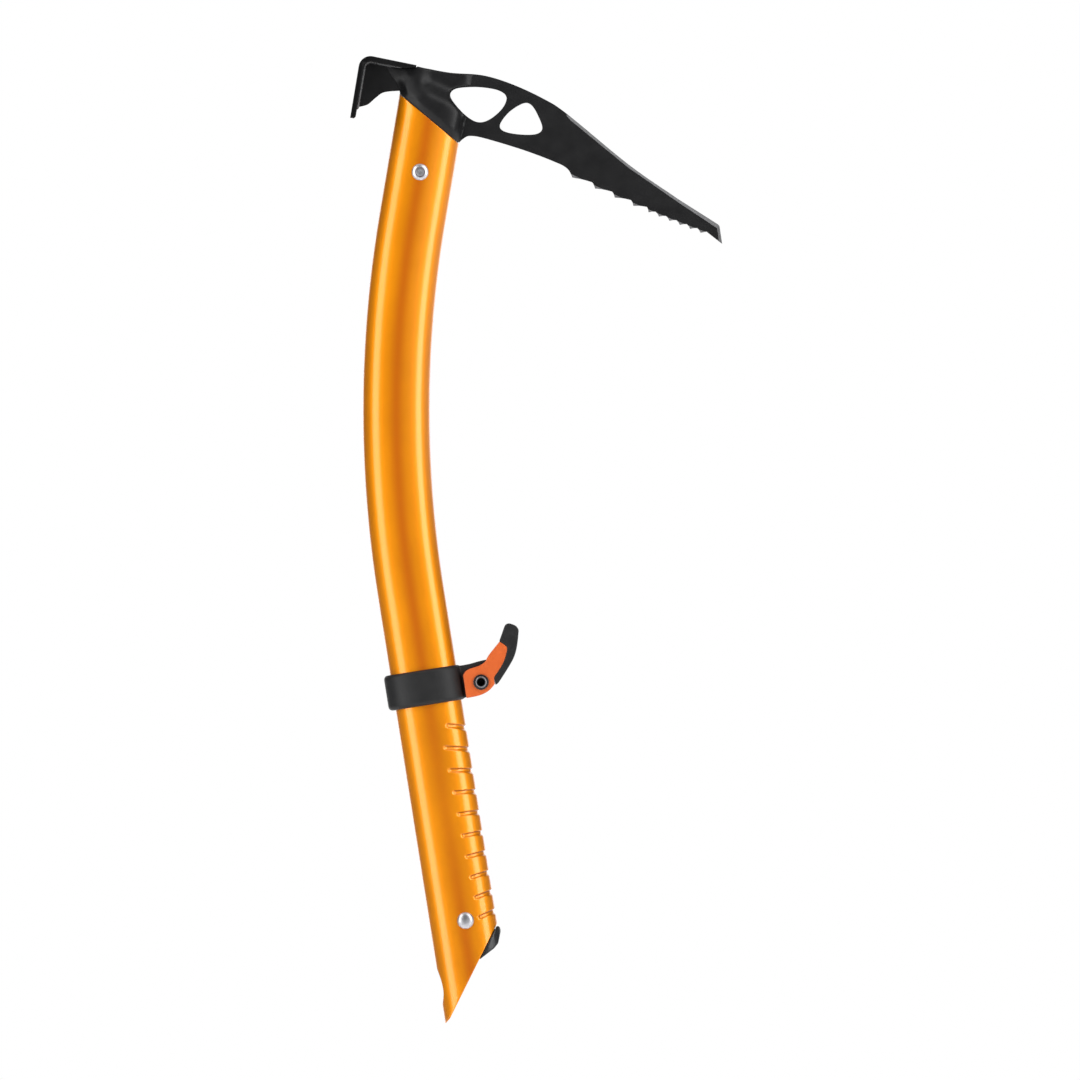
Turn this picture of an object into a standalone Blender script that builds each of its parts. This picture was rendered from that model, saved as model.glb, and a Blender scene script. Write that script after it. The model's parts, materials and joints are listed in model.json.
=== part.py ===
"""Light ice axe: bent oval shaft, riveted steel head, and a hand rest that slides on the shaft.

Lengths below are in millimetres and become metres when a mesh is made.
+Z runs up the straight grip towards the head, +X towards the pick's point, Y across the axe.
The origin is the middle of the grip, on the shaft's centre line.
"""
import math

import bmesh
import bpy
from mathutils import Matrix, Vector
from mathutils.geometry import delaunay_2d_cdt

MM = 0.001
GAP = 0.3                      # clearance left between neighbouring pieces

# Shaft: an oval tube, straight at the grip, bent forward above it, straight again at the head.
SHAFT_RX = 15.5                # half width, in the plane of the pick
SHAFT_RY = 10.0                # half depth, across the axe
OVAL_POWER = 2.4               # 2 would be an ellipse; more is squarer
WALL = 1.5
BEND_START = 107.6             # height at which the bend begins
BEND_RADIUS = 535.0
BEND_ANGLE = math.radians(18.5)
MOUTH_BACK = (30.9, 336.4)     # slanted top end, in the X-Z plane
MOUTH_FRONT = (54.5, 309.3)
TAIL_FRONT = (15.6, -51.7)     # slanted lower end, down to the point
TAIL_LOW = (-13.0, -92.0)
TAIL_POINT = (-15.8, -94.3)
LEASH_HOLE_Z = -78.0           # height where the leash hole is widest
LEASH_HOLE_UP = 10.5
LEASH_HOLE_DOWN = 7.5
LEASH_HOLE_HALF_WIDTH = 5.2

# Grip: cross grooves round the front of the shaft, fanned like the fingers.
GROOVE_COUNT = 10
GROOVE_WIDTH = 2.3
GROOVE_DEPTH = 0.8
GROOVE_TOP = 41.9              # height of the first groove
GROOVE_PITCH = 10.55
GROOVE_CLOSING = 0.07          # the pitch shrinks a little on the way down
GROOVE_SLANT = -15.0           # degrees, of the first groove
GROOVE_FAN = 3.4               # degrees from one groove to the next
GROOVE_CENTRE = 10.0           # each groove slants about this distance from the centre line

# Head.
BLADE_HALF = 2.0               # half thickness of the blade
CHEEK_EDGE = 3.0               # half thickness of the head at the rim of a cheek
CHEEK_FADE = 15.0              # distance over which a cheek fades into the blade
CHEEK_BACK = [(30.9, 336.4), (30.6, 342.2), (24.6, 350.5)]    # hollow back edge, from the mouth up
CHEEK_FRONT = [(54.5, 309.3), (66.5, 340.5)]
CHEEK_GRID = 2.5               # spacing of a cheek's surface points
TANG_HALF_WIDTH = 12.0
TANG_START = 6.0               # tang's lower end, measured up from the end of the bend
SPACER_LENGTH = 74.0           # before its upper end is cut along the mouth
ADZE_THICKNESS = 2.5
ADZE_TAPER = 6.5               # length over which the adze thins out towards the head
ADZE_TAPER_END = 0.8           # thickness left at the head end
ADZE_EDGE_THICKNESS = 1.8      # thickness left at the cutting edge
ADZE_BEVEL_START = 0.95        # share of the leg at which the edge's bevel begins
ADZE_BEND = 5.5                # outer radius of the adze's bend
ADZE_END = (40.5, 348.4)
ADZE_CORNER = (16.15, 357.5)
ADZE_EDGE = (6.6, 328.9)
ADZE_HALF_WIDTHS = (9.0, 13.0, 23.0)   # at the head, at the bend and at the edge

# Teeth: tips stand on a slightly sagging line; coarse teeth first, then fine ones.
FIRST_TIP = (104.4, 285.2)
TIP_LINE_ANGLE = math.radians(-32.3)
COARSE_PITCHES = [11.3, 9.9, 9.4, 7.7]
FINE_PITCHES = [5.3] * 5
TIP_SAG = 1.0
COARSE_DEPTH = 2.0
COARSE_GULLET = 0.78           # place of the gullet's deepest point, as a share of the pitch
FINE_DEPTH = 1.5
FINE_GULLET = 0.55

# Rivets.
HEAD_RIVET = (34.8, 298.9)
TAIL_RIVET = (1.2, -48.2)
RIVET_SHANK = 2.3
RIVET_HEAD = 4.0
HEAD_RIVET_RISE = 1.2
HEAD_RIVET_BORE = 1.4
TAIL_RIVET_RISE = 1.5

# Tail plug: distances down the slanted cut between which its nose lies on the shaft's end.
PLUG_TOP = -26.0
PLUG_BOTTOM = -57.0
NOSE_START = 1.2
NOSE_END = 18.6
NOSE_HALF_WIDTH = 16.7

# Hand rest.
BAND_BOTTOM = 53.5
BAND_TOP = 70.0
BAND_BACK = -18.7
BAND_FRONT = 17.3
BAND_HALF_DEPTH = 12.6
BAND_BEVEL = 1.2
PIVOT = (25.7, 60.2)
LUG_HALF = 4.0
LUG_NOSE_RADIUS = 5.2
BUSH_RECESS = 0.1              # the bush ends this far inside the lug
LEVER_HALF = 7.5
PAD_HALF = 7.8
SLOT_RADIUS = 11.3
PIN_RADIUS = 2.0
PIN_BORE = 1.5                 # blind hollow in each end of the pin
PIN_BORE_DEPTH = 4.0
BUSH_RADIUS = 2.85
WASHER_RADIUS = 3.6
WASHER_THICKNESS = 0.6
PIN_HEAD_RADIUS = 2.8
PIN_HEAD_THICKNESS = 0.7

SIDES = 44                     # corners of an oval section
ROUND = 28                     # corners of a turned piece
THROUGH = 40.0                 # half length of a cutter that passes through the whole axe


# ---------------------------------------------------------------- outlines

def arc(centre, radius, start, end, steps):
    """Points on an arc, angles in radians."""
    angles = [start + (end - start) * i / steps for i in range(steps + 1)]
    return [(centre[0] + radius * math.cos(a), centre[1] + radius * math.sin(a)) for a in angles]


def rounded(corners, steps=4):
    """Closed outline through (x, z, radius) corners, each rounded by its own radius."""
    outline = []
    for i, (x, z, radius) in enumerate(corners):
        here = Vector((x, z))
        before = (Vector(corners[i - 1][:2]) - here).normalized()
        after = (Vector(corners[(i + 1) % len(corners)][:2]) - here).normalized()
        opening = before.angle(after)
        if radius == 0 or opening > math.radians(179):
            outline.append((x, z))
            continue
        reach = radius / math.tan(opening / 2)
        centre = here + (before + after).normalized() * radius / math.sin(opening / 2)
        first = here + before * reach - centre
        last = here + after * reach - centre
        turn = first.angle_signed(last)
        for k in range(steps + 1):
            spoke = first.copy()
            spoke.rotate(Matrix.Rotation(-turn * k / steps, 2))
            outline.append(tuple(centre + spoke))
    return outline


def spline(points, steps=4):
    """Smooth open curve through the points (Catmull-Rom)."""
    pts = [Vector(p) for p in points]
    pts = [2 * pts[0] - pts[1]] + pts + [2 * pts[-1] - pts[-2]]
    curve = []
    for p0, p1, p2, p3 in zip(pts, pts[1:], pts[2:], pts[3:]):
        for k in range(steps):
            t = k / steps
            point = 0.5 * (2 * p1 + (p2 - p0) * t + (2 * p0 - 5 * p1 + 4 * p2 - p3) * t * t
                           + (3 * p1 - p0 - 3 * p2 + p3) * t * t * t)
            curve.append(tuple(point))
    curve.append(tuple(pts[-2]))
    return curve


def oval(rx, ry, count=SIDES, centre_x=0.0):
    """Superellipse section as (x, y) points."""
    power = 2 / OVAL_POWER
    section = []
    for i in range(count):
        c = math.cos(2 * math.pi * i / count)
        s = math.sin(2 * math.pi * i / count)
        section.append((centre_x + rx * math.copysign(abs(c) ** power, c),
                        ry * math.copysign(abs(s) ** power, s)))
    return section


def shaft_point(length):
    """Centre line at a length above the origin: x, z and the forward tilt there."""
    if length <= BEND_START:
        return 0.0, length, 0.0
    angle = min((length - BEND_START) / BEND_RADIUS, BEND_ANGLE)
    beyond = max(0.0, length - BEND_START - BEND_RADIUS * BEND_ANGLE)
    x = BEND_RADIUS * (1 - math.cos(angle)) + beyond * math.sin(angle)
    z = BEND_START + BEND_RADIUS * math.sin(angle) + beyond * math.cos(angle)
    return x, z, angle


BEND_END = BEND_START + BEND_RADIUS * BEND_ANGLE


# ---------------------------------------------------------------- meshes

def material(name, colour, metallic, roughness):
    """Principled material, made once for each name."""
    found = bpy.data.materials.get(name)
    if found:
        return found
    made = bpy.data.materials.new(name)
    made.use_nodes = True
    shader = made.node_tree.nodes["Principled BSDF"]
    shader.inputs["Base Color"].default_value = (*colour, 1.0)
    shader.inputs["Metallic"].default_value = metallic
    shader.inputs["Roughness"].default_value = roughness
    return made


def add_object(name, bm, finish=None):
    """Object from a bmesh whose coordinates are in millimetres."""
    bmesh.ops.scale(bm, vec=(MM, MM, MM), verts=bm.verts)
    bmesh.ops.recalc_face_normals(bm, faces=bm.faces)
    mesh = bpy.data.meshes.new(name)
    bm.to_mesh(mesh)
    bm.free()
    thing = bpy.data.objects.new(name, mesh)
    bpy.context.scene.collection.objects.link(thing)
    if finish:
        mesh.materials.append(finish)
        mesh.shade_smooth()
        mesh.set_sharp_from_angle(angle=math.radians(32))
    return thing


def loft(name, rings, finish=None):
    """Closed solid through rings of equal point counts, capped at both ends."""
    bm = bmesh.new()
    loops = [[bm.verts.new(p) for p in ring] for ring in rings]
    count = len(loops[0])
    for low, high in zip(loops, loops[1:]):
        for i in range(count):
            j = (i + 1) % count
            bm.faces.new((low[i], low[j], high[j], high[i]))
    bm.faces.new(list(reversed(loops[0])))
    bm.faces.new(loops[-1])
    return add_object(name, bm, finish)


def plate(name, outline, y_low, y_high, finish=None):
    """Flat solid: an outline in the X-Z plane, extruded along Y."""
    return loft(name, [[(x, y, z) for x, z in outline] for y in (y_low, y_high)], finish)


def column(name, section, z_low, z_high, finish=None):
    """Upright prism with an (x, y) section."""
    return loft(name, [[(x, y, z) for x, y in section] for z in (z_low, z_high)], finish)


def turned(name, profile, centre, finish=None, segments=ROUND):
    """Solid turned about a Y axis through centre; profile is a closed loop of (radius, y)."""
    bm = bmesh.new()
    rings = []
    for radius, y in profile:
        if radius == 0:
            rings.append([bm.verts.new((centre[0], y, centre[1]))])
            continue
        circle = arc(centre, radius, 0, 2 * math.pi, segments)[:-1]
        rings.append([bm.verts.new((x, y, z)) for x, z in circle])
    closing = rings[1:] + rings[:1]
    for a, b in zip(rings, closing):
        if len(a) == 1 and len(b) == 1:
            continue
        for i in range(segments):
            j = (i + 1) % segments
            corners = (a[i % len(a)], a[j % len(a)], b[j % len(b)], b[i % len(b)])
            unique = list(dict.fromkeys(corners))
            bm.faces.new(unique)
    return add_object(name, bm, finish)


def boolean(target, tool, operation="DIFFERENCE"):
    """Live Boolean; the tool itself is only a guide."""
    tool.hide_render = True
    tool.display_type = "WIRE"
    modifier = target.modifiers.new(tool.name, "BOOLEAN")
    modifier.operation = operation
    modifier.object = tool


def hang_on(empty, things):
    """Parent the things to an empty without moving them."""
    for thing in things:
        thing.parent = empty
        thing.matrix_parent_inverse = Matrix.Translation(-empty.location)


def joint_empty(name, x, z):
    """Empty on a joint's axis."""
    empty = bpy.data.objects.new(name, None)
    empty.location = (x * MM, 0, z * MM)
    bpy.context.scene.collection.objects.link(empty)
    return empty


# ---------------------------------------------------------------- shaft

def swept_oval(name, rx, ry, lengths, finish=None):
    """Oval section swept along the shaft's centre line."""
    rings = []
    for length in lengths:
        x, z, tilt = shaft_point(length)
        rings.append([(x + a * math.cos(tilt), b, z - a * math.sin(tilt)) for a, b in oval(rx, ry)])
    return loft(name, rings, finish)


def above_mouth(name, offset):
    """Cutter for everything above the slanted mouth, moved along the cut's normal by offset."""
    back = Vector(MOUTH_BACK)
    front = Vector(MOUTH_FRONT)
    along = (front - back).normalized()
    up = Vector((-along.y, along.x))
    reach = 60.0
    low_back = back - along * reach + up * offset
    low_front = front + along * reach + up * offset
    outline = [low_back, low_front, low_front + up * reach, low_back + up * reach]
    return plate(name, outline, -THROUGH, THROUGH)


def groove_cutters():
    """Tilted slots round the front of the grip, left shallow by an inner column."""
    bm = bmesh.new()
    for k in range(GROOVE_COUNT):
        slant = math.radians(GROOVE_SLANT + GROOVE_FAN * k)
        height = GROOVE_TOP - GROOVE_PITCH * k + GROOVE_CLOSING * k * k
        middle = 6.1 if k == 0 else 3.0 + 0.45 * k
        place = (Matrix.Translation((GROOVE_CENTRE, 0, height)) @ Matrix.Rotation(-slant, 4, "Y")
                 @ Matrix.Translation((middle, 0, 0)))
        size = Matrix.Diagonal((20.0, 30.0, GROOVE_WIDTH, 1.0))
        bmesh.ops.create_cube(bm, size=1.0, matrix=place @ size)
    slots = add_object("groove_slots", bm)
    core = column("groove_core", oval(SHAFT_RX - GROOVE_DEPTH, SHAFT_RY - GROOVE_DEPTH), -70, 70)
    boolean(slots, core)
    return slots


def leash_hole_cutter():
    """Egg-shaped hole through the back wall just above the point."""
    outline = []
    for i in range(20):
        angle = 2 * math.pi * i / 20
        reach = LEASH_HOLE_UP if math.sin(angle) > 0 else LEASH_HOLE_DOWN
        outline.append((LEASH_HOLE_HALF_WIDTH * math.cos(angle), LEASH_HOLE_Z + reach * math.sin(angle)))
    rings = [[(x, y, z) for y, z in outline] for x in (-25.0, -8.0)]
    return loft("leash_hole_cutter", rings)


def rivet_hole(name, centre):
    radius = RIVET_SHANK + GAP
    return plate(name, arc(centre, radius, 0, 2 * math.pi, ROUND)[:-1], -THROUGH, THROUGH)


def build_shaft(head_hole, tail_hole):
    finish = material("anodised_orange", (0.86, 0.30, 0.02), 0.6, 0.38)
    bend = [BEND_START + (BEND_END - BEND_START) * i / 12 for i in range(13)]
    lengths = [-110.0] + bend + [BEND_END + 90.0]
    shaft = swept_oval("shaft", SHAFT_RX, SHAFT_RY, lengths, finish)
    bore = swept_oval("shaft_bore", SHAFT_RX - WALL, SHAFT_RY - WALL,
                      [-120.0] + bend + [BEND_END + 100.0])
    boolean(shaft, bore)
    boolean(shaft, above_mouth("mouth_cutter", 0.0))
    slope = (TAIL_FRONT[1] - TAIL_LOW[1]) / (TAIL_FRONT[0] - TAIL_LOW[0])
    past_front = (40.0, TAIL_FRONT[1] + slope * (40.0 - TAIL_FRONT[0]))
    outline = [past_front, TAIL_LOW, TAIL_POINT, (-30.0, -108.0), (-30.0, -150.0), (40.0, -150.0)]
    below = plate("tail_cutter", outline, -THROUGH, THROUGH)
    boolean(shaft, below)
    for tool in (leash_hole_cutter(), groove_cutters(), head_hole, tail_hole):
        boolean(shaft, tool)
    return shaft


# ---------------------------------------------------------------- head

def adze_path(inset, end_inset):
    """Side view of the adze's outer face, moved inwards: head end, taper, bend, cutting edge."""
    end = Vector(ADZE_END)
    corner = Vector(ADZE_CORNER)
    edge = Vector(ADZE_EDGE)
    top = (corner - end).normalized()
    leg = (edge - corner).normalized()
    top_in = Vector((-top.y, top.x))
    leg_in = Vector((-leg.y, leg.x))
    mitre = (top_in + leg_in) / (1 + top_in.dot(leg_in))
    inner_corner = corner + mitre * inset
    radius = ADZE_BEND - inset
    reach = radius * math.tan(top.angle(leg) / 2)
    bend_start = inner_corner - top * reach
    centre = bend_start + top_in * radius
    first = math.atan2(-top_in.y, -top_in.x)
    bend = arc(centre, radius, first, first + top.angle(leg), 6)
    taper = [tuple(end + top_in * end_inset), tuple(end + top * ADZE_TAPER + top_in * inset)]
    return taper + bend + [tuple(edge + leg_in * inset)]


def adze_seat():
    """Line the adze rests on, one gap below it and one gap past its head end."""
    seat = adze_path(ADZE_THICKNESS + GAP, ADZE_TAPER_END + GAP)
    past_end = (Vector(ADZE_END) - Vector(ADZE_CORNER)).normalized() * GAP
    seat[0] = tuple(Vector(seat[0]) + past_end)
    return seat


def build_adze():
    finish = material("black_steel", (0.020, 0.020, 0.022), 0.4, 0.45)
    outer = adze_path(0.0, 0.0)
    inner = adze_path(ADZE_THICKNESS, ADZE_TAPER_END)
    # A ground bevel: near the cutting edge the inner face closes on the outer one.
    outer.insert(-1, tuple(Vector(outer[-2]).lerp(Vector(outer[-1]), ADZE_BEVEL_START)))
    inner.insert(-1, tuple(Vector(inner[-2]).lerp(Vector(inner[-1]), ADZE_BEVEL_START)))
    inner[-1] = tuple(Vector(outer[-1]).lerp(Vector(inner[-1]), ADZE_EDGE_THICKNESS / ADZE_THICKNESS))
    lengths = [0.0]
    for a, b in zip(outer, outer[1:]):
        lengths.append(lengths[-1] + (Vector(b) - Vector(a)).length)
    at_head, at_bend, at_edge = ADZE_HALF_WIDTHS
    bend_length = lengths[len(lengths) // 2]
    rings = []
    for (ox, oz), (ix, iz), length in zip(outer, inner, lengths):
        if length < bend_length:
            half = at_head + (at_bend - at_head) * length / bend_length
        else:
            half = at_bend + (at_edge - at_bend) * (length - bend_length) / (lengths[-1] - bend_length)
        rings.append([(ox, -half, oz), (ox, half, oz), (ix, half, iz), (ix, -half, iz)])
    return loft("adze_plate", rings, finish)


def tooth_tip(distance):
    """Point on the line of tooth tips."""
    total = sum(COARSE_PITCHES + FINE_PITCHES)
    sag = TIP_SAG * 4 * distance * (total - distance) / total ** 2
    x = FIRST_TIP[0] + distance * math.cos(TIP_LINE_ANGLE)
    z = FIRST_TIP[1] + distance * math.sin(TIP_LINE_ANGLE) - sag
    return Vector((x, z))


def tooth_outline():
    """Tips and gullets: each back climbs slowly, each face drops steeply to the next tip."""
    inward = Vector((-math.sin(TIP_LINE_ANGLE), math.cos(TIP_LINE_ANGLE)))
    points = []
    distance = 0.0
    for pitch in COARSE_PITCHES + FINE_PITCHES:
        coarse = pitch in COARSE_PITCHES
        depth, gullet = (COARSE_DEPTH, COARSE_GULLET) if coarse else (FINE_DEPTH, FINE_GULLET)
        tip = tooth_tip(distance)
        following = tooth_tip(distance + pitch)
        points.append(tip)
        points.append(tip.lerp(following, gullet * 0.5) + inward * depth * 0.62)
        points.append(tip.lerp(following, gullet) + inward * depth)
        points.append(tip.lerp(following, (gullet + 1) / 2) + inward * depth * 0.66)
        distance += pitch
    points.append(tooth_tip(distance))
    points.append(tooth_tip(distance) + Vector((2.8, 0.1)))
    return [tuple(p) for p in points]


def mouth_point(fraction, lift):
    """Point on the slanted mouth, from back (0) to front (1), lifted off it."""
    back = Vector(MOUTH_BACK)
    front = Vector(MOUTH_FRONT)
    along = (front - back).normalized()
    return tuple(back.lerp(front, fraction) + Vector((-along.y, along.x)) * lift)


def local_to_world(across, length):
    """Side-view point given across the shaft and along its centre line."""
    x, z, tilt = shaft_point(length)
    return x + across * math.cos(tilt), z - across * math.sin(tilt)


def blade_outline():
    """Whole blade from the tang's lower end, round the pick and back by the adze web."""
    seat = adze_seat()
    tang_bottom = BEND_END + TANG_START
    tang = [local_to_world(-TANG_HALF_WIDTH, tang_bottom), local_to_world(TANG_HALF_WIDTH, tang_bottom)]
    throat = [mouth_point(0.91, 0.5), mouth_point(0.99, 0.4)]
    lower = spline([(54.9, 309.6), (57.4, 311.2), (60.4, 311.8), (66.8, 309.7), (83.0, 301.9),
                    (95.0, 295.2), (101.4, 291.0)], 3) + [(103.0, 289.2)]
    tip = [(168.3, 243.9), (168.4, 252.0), (167.6, 253.4)]
    upper = spline([(152.3, 266.9), (131.5, 286.8), (106.7, 314.7), (96.8, 323.6), (83.2, 332.7),
                    (70.5, 338.8), (56.0, 342.3), (44.0, 346.5)], 4)
    step = [(41.3, 347.6), seat[0]]
    web = spline([(10.7, 333.2), (15.6, 333.7), (19.8, 336.2), (24.0, 338.1), (31.2, 337.7)], 3)
    seat_line = seat[1:-1]
    back = [mouth_point(0.03, 0.4), mouth_point(0.09, 0.5)]
    return tang + throat + lower + tooth_outline() + tip + upper + step + seat_line + web + back


def hole_outlines():
    """Two rounded triangles that lighten the blade."""
    rear_hole = [(61.6, 334.5), (69.2, 333.3), (76.8, 330.6), (79.9, 326.9), (77.0, 322.0), (70.5, 318.0),
                 (65.0, 317.6), (60.2, 321.2), (56.0, 327.2), (54.2, 331.8), (56.4, 334.3)]
    front_hole = [(87.4, 322.9), (91.0, 321.2), (93.4, 315.0), (94.0, 309.8), (90.6, 307.9), (83.0, 309.0),
                  (76.2, 311.6), (75.0, 314.9), (80.2, 320.0)]
    return [spline(hole[-1:] + hole + hole[:2], 3)[3:-4] for hole in (rear_hole, front_hole)]


def build_blade(head_hole):
    finish = material("black_steel", (0.020, 0.020, 0.022), 0.4, 0.45)
    blade = plate("pick_blade", blade_outline(), -BLADE_HALF, BLADE_HALF, finish)
    for number, outline in enumerate(hole_outlines(), 1):
        boolean(blade, plate(f"weight_hole_{number}", outline, -THROUGH, THROUGH))
    boolean(blade, head_hole)
    return blade


def mouth_distance(x, z):
    """Distance above the slanted mouth."""
    along = (Vector(MOUTH_FRONT) - Vector(MOUTH_BACK)).normalized()
    return (Vector((x, z)) - Vector(MOUTH_BACK)).dot(Vector((-along.y, along.x)))


def side_distance(point, start, end):
    """Distance forward of a side line, counted along the mouth."""
    line = (Vector(end) - Vector(start)).normalized()
    along = (Vector(MOUTH_FRONT) - Vector(MOUTH_BACK)).normalized()
    return (Vector(point) - Vector(start)).cross(line) / along.cross(line)


def cheek_height(x, z):
    """Half thickness of the head: the shaft's oval at the mouth, fading into the blade."""
    back = max(side_distance((x, z), a, b) for a, b in zip(CHEEK_BACK, CHEEK_BACK[1:]))
    front = -side_distance((x, z), *CHEEK_FRONT)
    across = min(1.0, abs(2 * back / (back + front) - 1))
    section = (1 - across ** OVAL_POWER) ** (1 / OVAL_POWER)
    fade = math.exp(-(max(0.0, mouth_distance(x, z)) / CHEEK_FADE) ** 1.5)
    return CHEEK_EDGE + (SHAFT_RY - CHEEK_EDGE) * section * fade


def cheek_outline():
    """Side view of a cheek, from the mouth's front corner round the hole to the adze."""
    mouth = [mouth_point(0.02 + 0.96 * i / 16, GAP) for i in range(17)]
    seat = adze_seat()
    rim = [(55.6, 310.6), (57.8, 314.7), (60.3, 319.9)]
    hole_side = spline([(60.3, 319.9), (57.3, 323.9), (54.5, 328.6), (53.6, 331.9), (54.6, 334.2),
                        (58.1, 335.2), (64.6, 335.0)], 3)[1:]
    top = spline([(65.9, 339.9), (56.0, 342.1), (44.0, 346.3), (41.3, 347.4)], 3)
    back_corner = tuple(Vector(seat[1]).lerp(Vector(seat[2]), 0.50))
    back = spline([back_corner, (28.5, 345.7), (30.2, 342.3), (31.0, 339.6), mouth[0]], 2)[:-1]
    return mouth + rim + hole_side + top + seat[:2] + back


def build_cheek(name, side):
    """Height field over the cheek's outline, on one side of the blade."""
    finish = material("black_steel", (0.020, 0.020, 0.022), 0.4, 0.45)
    outline = cheek_outline()
    points = [Vector(p) for p in outline]
    rim_count = len(points)
    low_x = min(p.x for p in points)
    low_z = min(p.y for p in points)
    columns = int((max(p.x for p in points) - low_x) / CHEEK_GRID)
    rows = int((max(p.y for p in points) - low_z) / CHEEK_GRID)
    for row in range(rows + 1):
        for column in range(columns + 1):
            point = Vector((low_x + CHEEK_GRID * column, low_z + CHEEK_GRID * row))
            if min((point - rim).length for rim in points[:rim_count]) > 0.75 * CHEEK_GRID:
                points.append(point)
    edges = [(i, (i + 1) % rim_count) for i in range(rim_count)]
    flat, _, faces, *_ = delaunay_2d_cdt(points, edges, [], 1, 1e-4)
    used = sorted({i for face in faces for i in face})
    bm = bmesh.new()
    inner = {i: bm.verts.new((flat[i].x, side * (BLADE_HALF + GAP), flat[i].y)) for i in used}
    outer = {i: bm.verts.new((flat[i].x, side * cheek_height(*flat[i]), flat[i].y)) for i in used}
    for face in faces:
        bm.faces.new([inner[i] for i in face])
        bm.faces.new([outer[i] for i in face])
    open_edges = [e for e in bm.edges if e.is_boundary]
    outer_set = set(outer.values())
    partner = {outer[i]: inner[i] for i in used}
    for edge in open_edges:
        a, b = edge.verts
        if a in outer_set and b in outer_set:
            bm.faces.new((a, b, partner[b], partner[a]))
    return add_object(name, bm, finish)


def build_spacer(name, side, head_hole, mouth_tool):
    """Half of the tube's inside, between the tang and the wall."""
    finish = material("spacer_plastic", (0.05, 0.05, 0.05), 0.0, 0.6)
    section = [(a, b) for a, b in oval(SHAFT_RX - WALL - GAP, SHAFT_RY - WALL - GAP)
               if side * b > BLADE_HALF + GAP]
    section.sort()
    flat = side * (BLADE_HALF + GAP)
    section = [(section[0][0], flat)] + section + [(section[-1][0], flat)]
    rings = []
    for length in (BEND_END + TANG_START, BEND_END + TANG_START + SPACER_LENGTH):
        rings.append([(*local_to_world(a, length), b) for a, b in section])
    spacer = loft(name, [[(x, b, z) for x, z, b in ring] for ring in rings], finish)
    boolean(spacer, mouth_tool)
    boolean(spacer, head_hole)
    return spacer


# ---------------------------------------------------------------- rivets and tail

def dome(radius, height, base, steps=4):
    """Profile of a rivet's head from its rim to its middle, standing on |y| = base."""
    return [(radius * math.cos(a), base + height * math.sin(a))
            for a in [math.pi / 2 * i / steps for i in range(steps)]]


def build_head_rivet():
    steel = material("bright_steel", (0.70, 0.70, 0.72), 1.0, 0.25)
    base = SHAFT_RY + GAP
    top = dome(RIVET_HEAD, HEAD_RIVET_RISE, base)
    bore = HEAD_RIVET_BORE
    half = [(RIVET_SHANK, base)] + top + [(bore + 0.3, base + HEAD_RIVET_RISE - 0.05), (bore, base + 0.7)]
    other = [(r, -y) for r, y in reversed(half)]
    sleeve = turned("head_rivet_sleeve", half + other, HEAD_RIVET, steel)
    pin_end = base + 0.2
    pin_profile = [(0, pin_end - 0.35), (0.7, pin_end), (bore - GAP, pin_end - 0.2)]
    pin_profile += [(r, -y) for r, y in reversed(pin_profile)]
    pin = turned("head_rivet_pin", pin_profile, HEAD_RIVET, steel)
    return sleeve, pin


def build_tail_rivet():
    steel = material("bright_steel", (0.70, 0.70, 0.72), 1.0, 0.25)
    base = SHAFT_RY + GAP
    half = [(RIVET_SHANK, base)] + dome(RIVET_HEAD, TAIL_RIVET_RISE, base) + [(0, base + TAIL_RIVET_RISE)]
    return turned("tail_rivet", half + [(r, -y) for r, y in reversed(half)], TAIL_RIVET, steel)


def build_tail_plug(tail_hole):
    """Plug inside the tail, with a nose that covers the front of the slanted cut."""
    finish = material("black_plastic", (0.025, 0.025, 0.028), 0.0, 0.5)
    front = Vector(TAIL_FRONT)
    down = (Vector(TAIL_LOW) - front).normalized()
    off_cut = Vector((-down.y, down.x)) * GAP
    seat_top = front + down * NOSE_START + off_cut
    seat_end = front + down * NOSE_END + off_cut
    plug = column("tail_plug", oval(SHAFT_RX - WALL - GAP, SHAFT_RY - WALL - GAP), -75.0, PLUG_TOP, finish)
    body_shape = [(-20.0, -20.0), (-20.0, PLUG_BOTTOM), (-8.0, PLUG_BOTTOM - 2.0), tuple(seat_end),
                  (12.2, -62.6), (20.0, -50.0), (20.0, -20.0)]
    boolean(plug, plate("plug_body_shape", body_shape, -THROUGH, THROUGH), "INTERSECT")
    nose = column("plug_nose", oval(NOSE_HALF_WIDTH, SHAFT_RY), -75.0, -45.0)
    nose_shape = rounded([(*seat_end, 0), (12.4, -63.0, 1.2), (14.6, -61.0, 1.5), (16.8, -55.2, 0.8),
                          (16.4, -53.3, 0.5), (*seat_top, 0)], 3)
    boolean(nose, plate("plug_nose_shape", nose_shape, -THROUGH, THROUGH), "INTERSECT")
    boolean(plug, nose, "UNION")
    boolean(plug, tail_hole)
    return plug


# ---------------------------------------------------------------- hand rest

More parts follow.
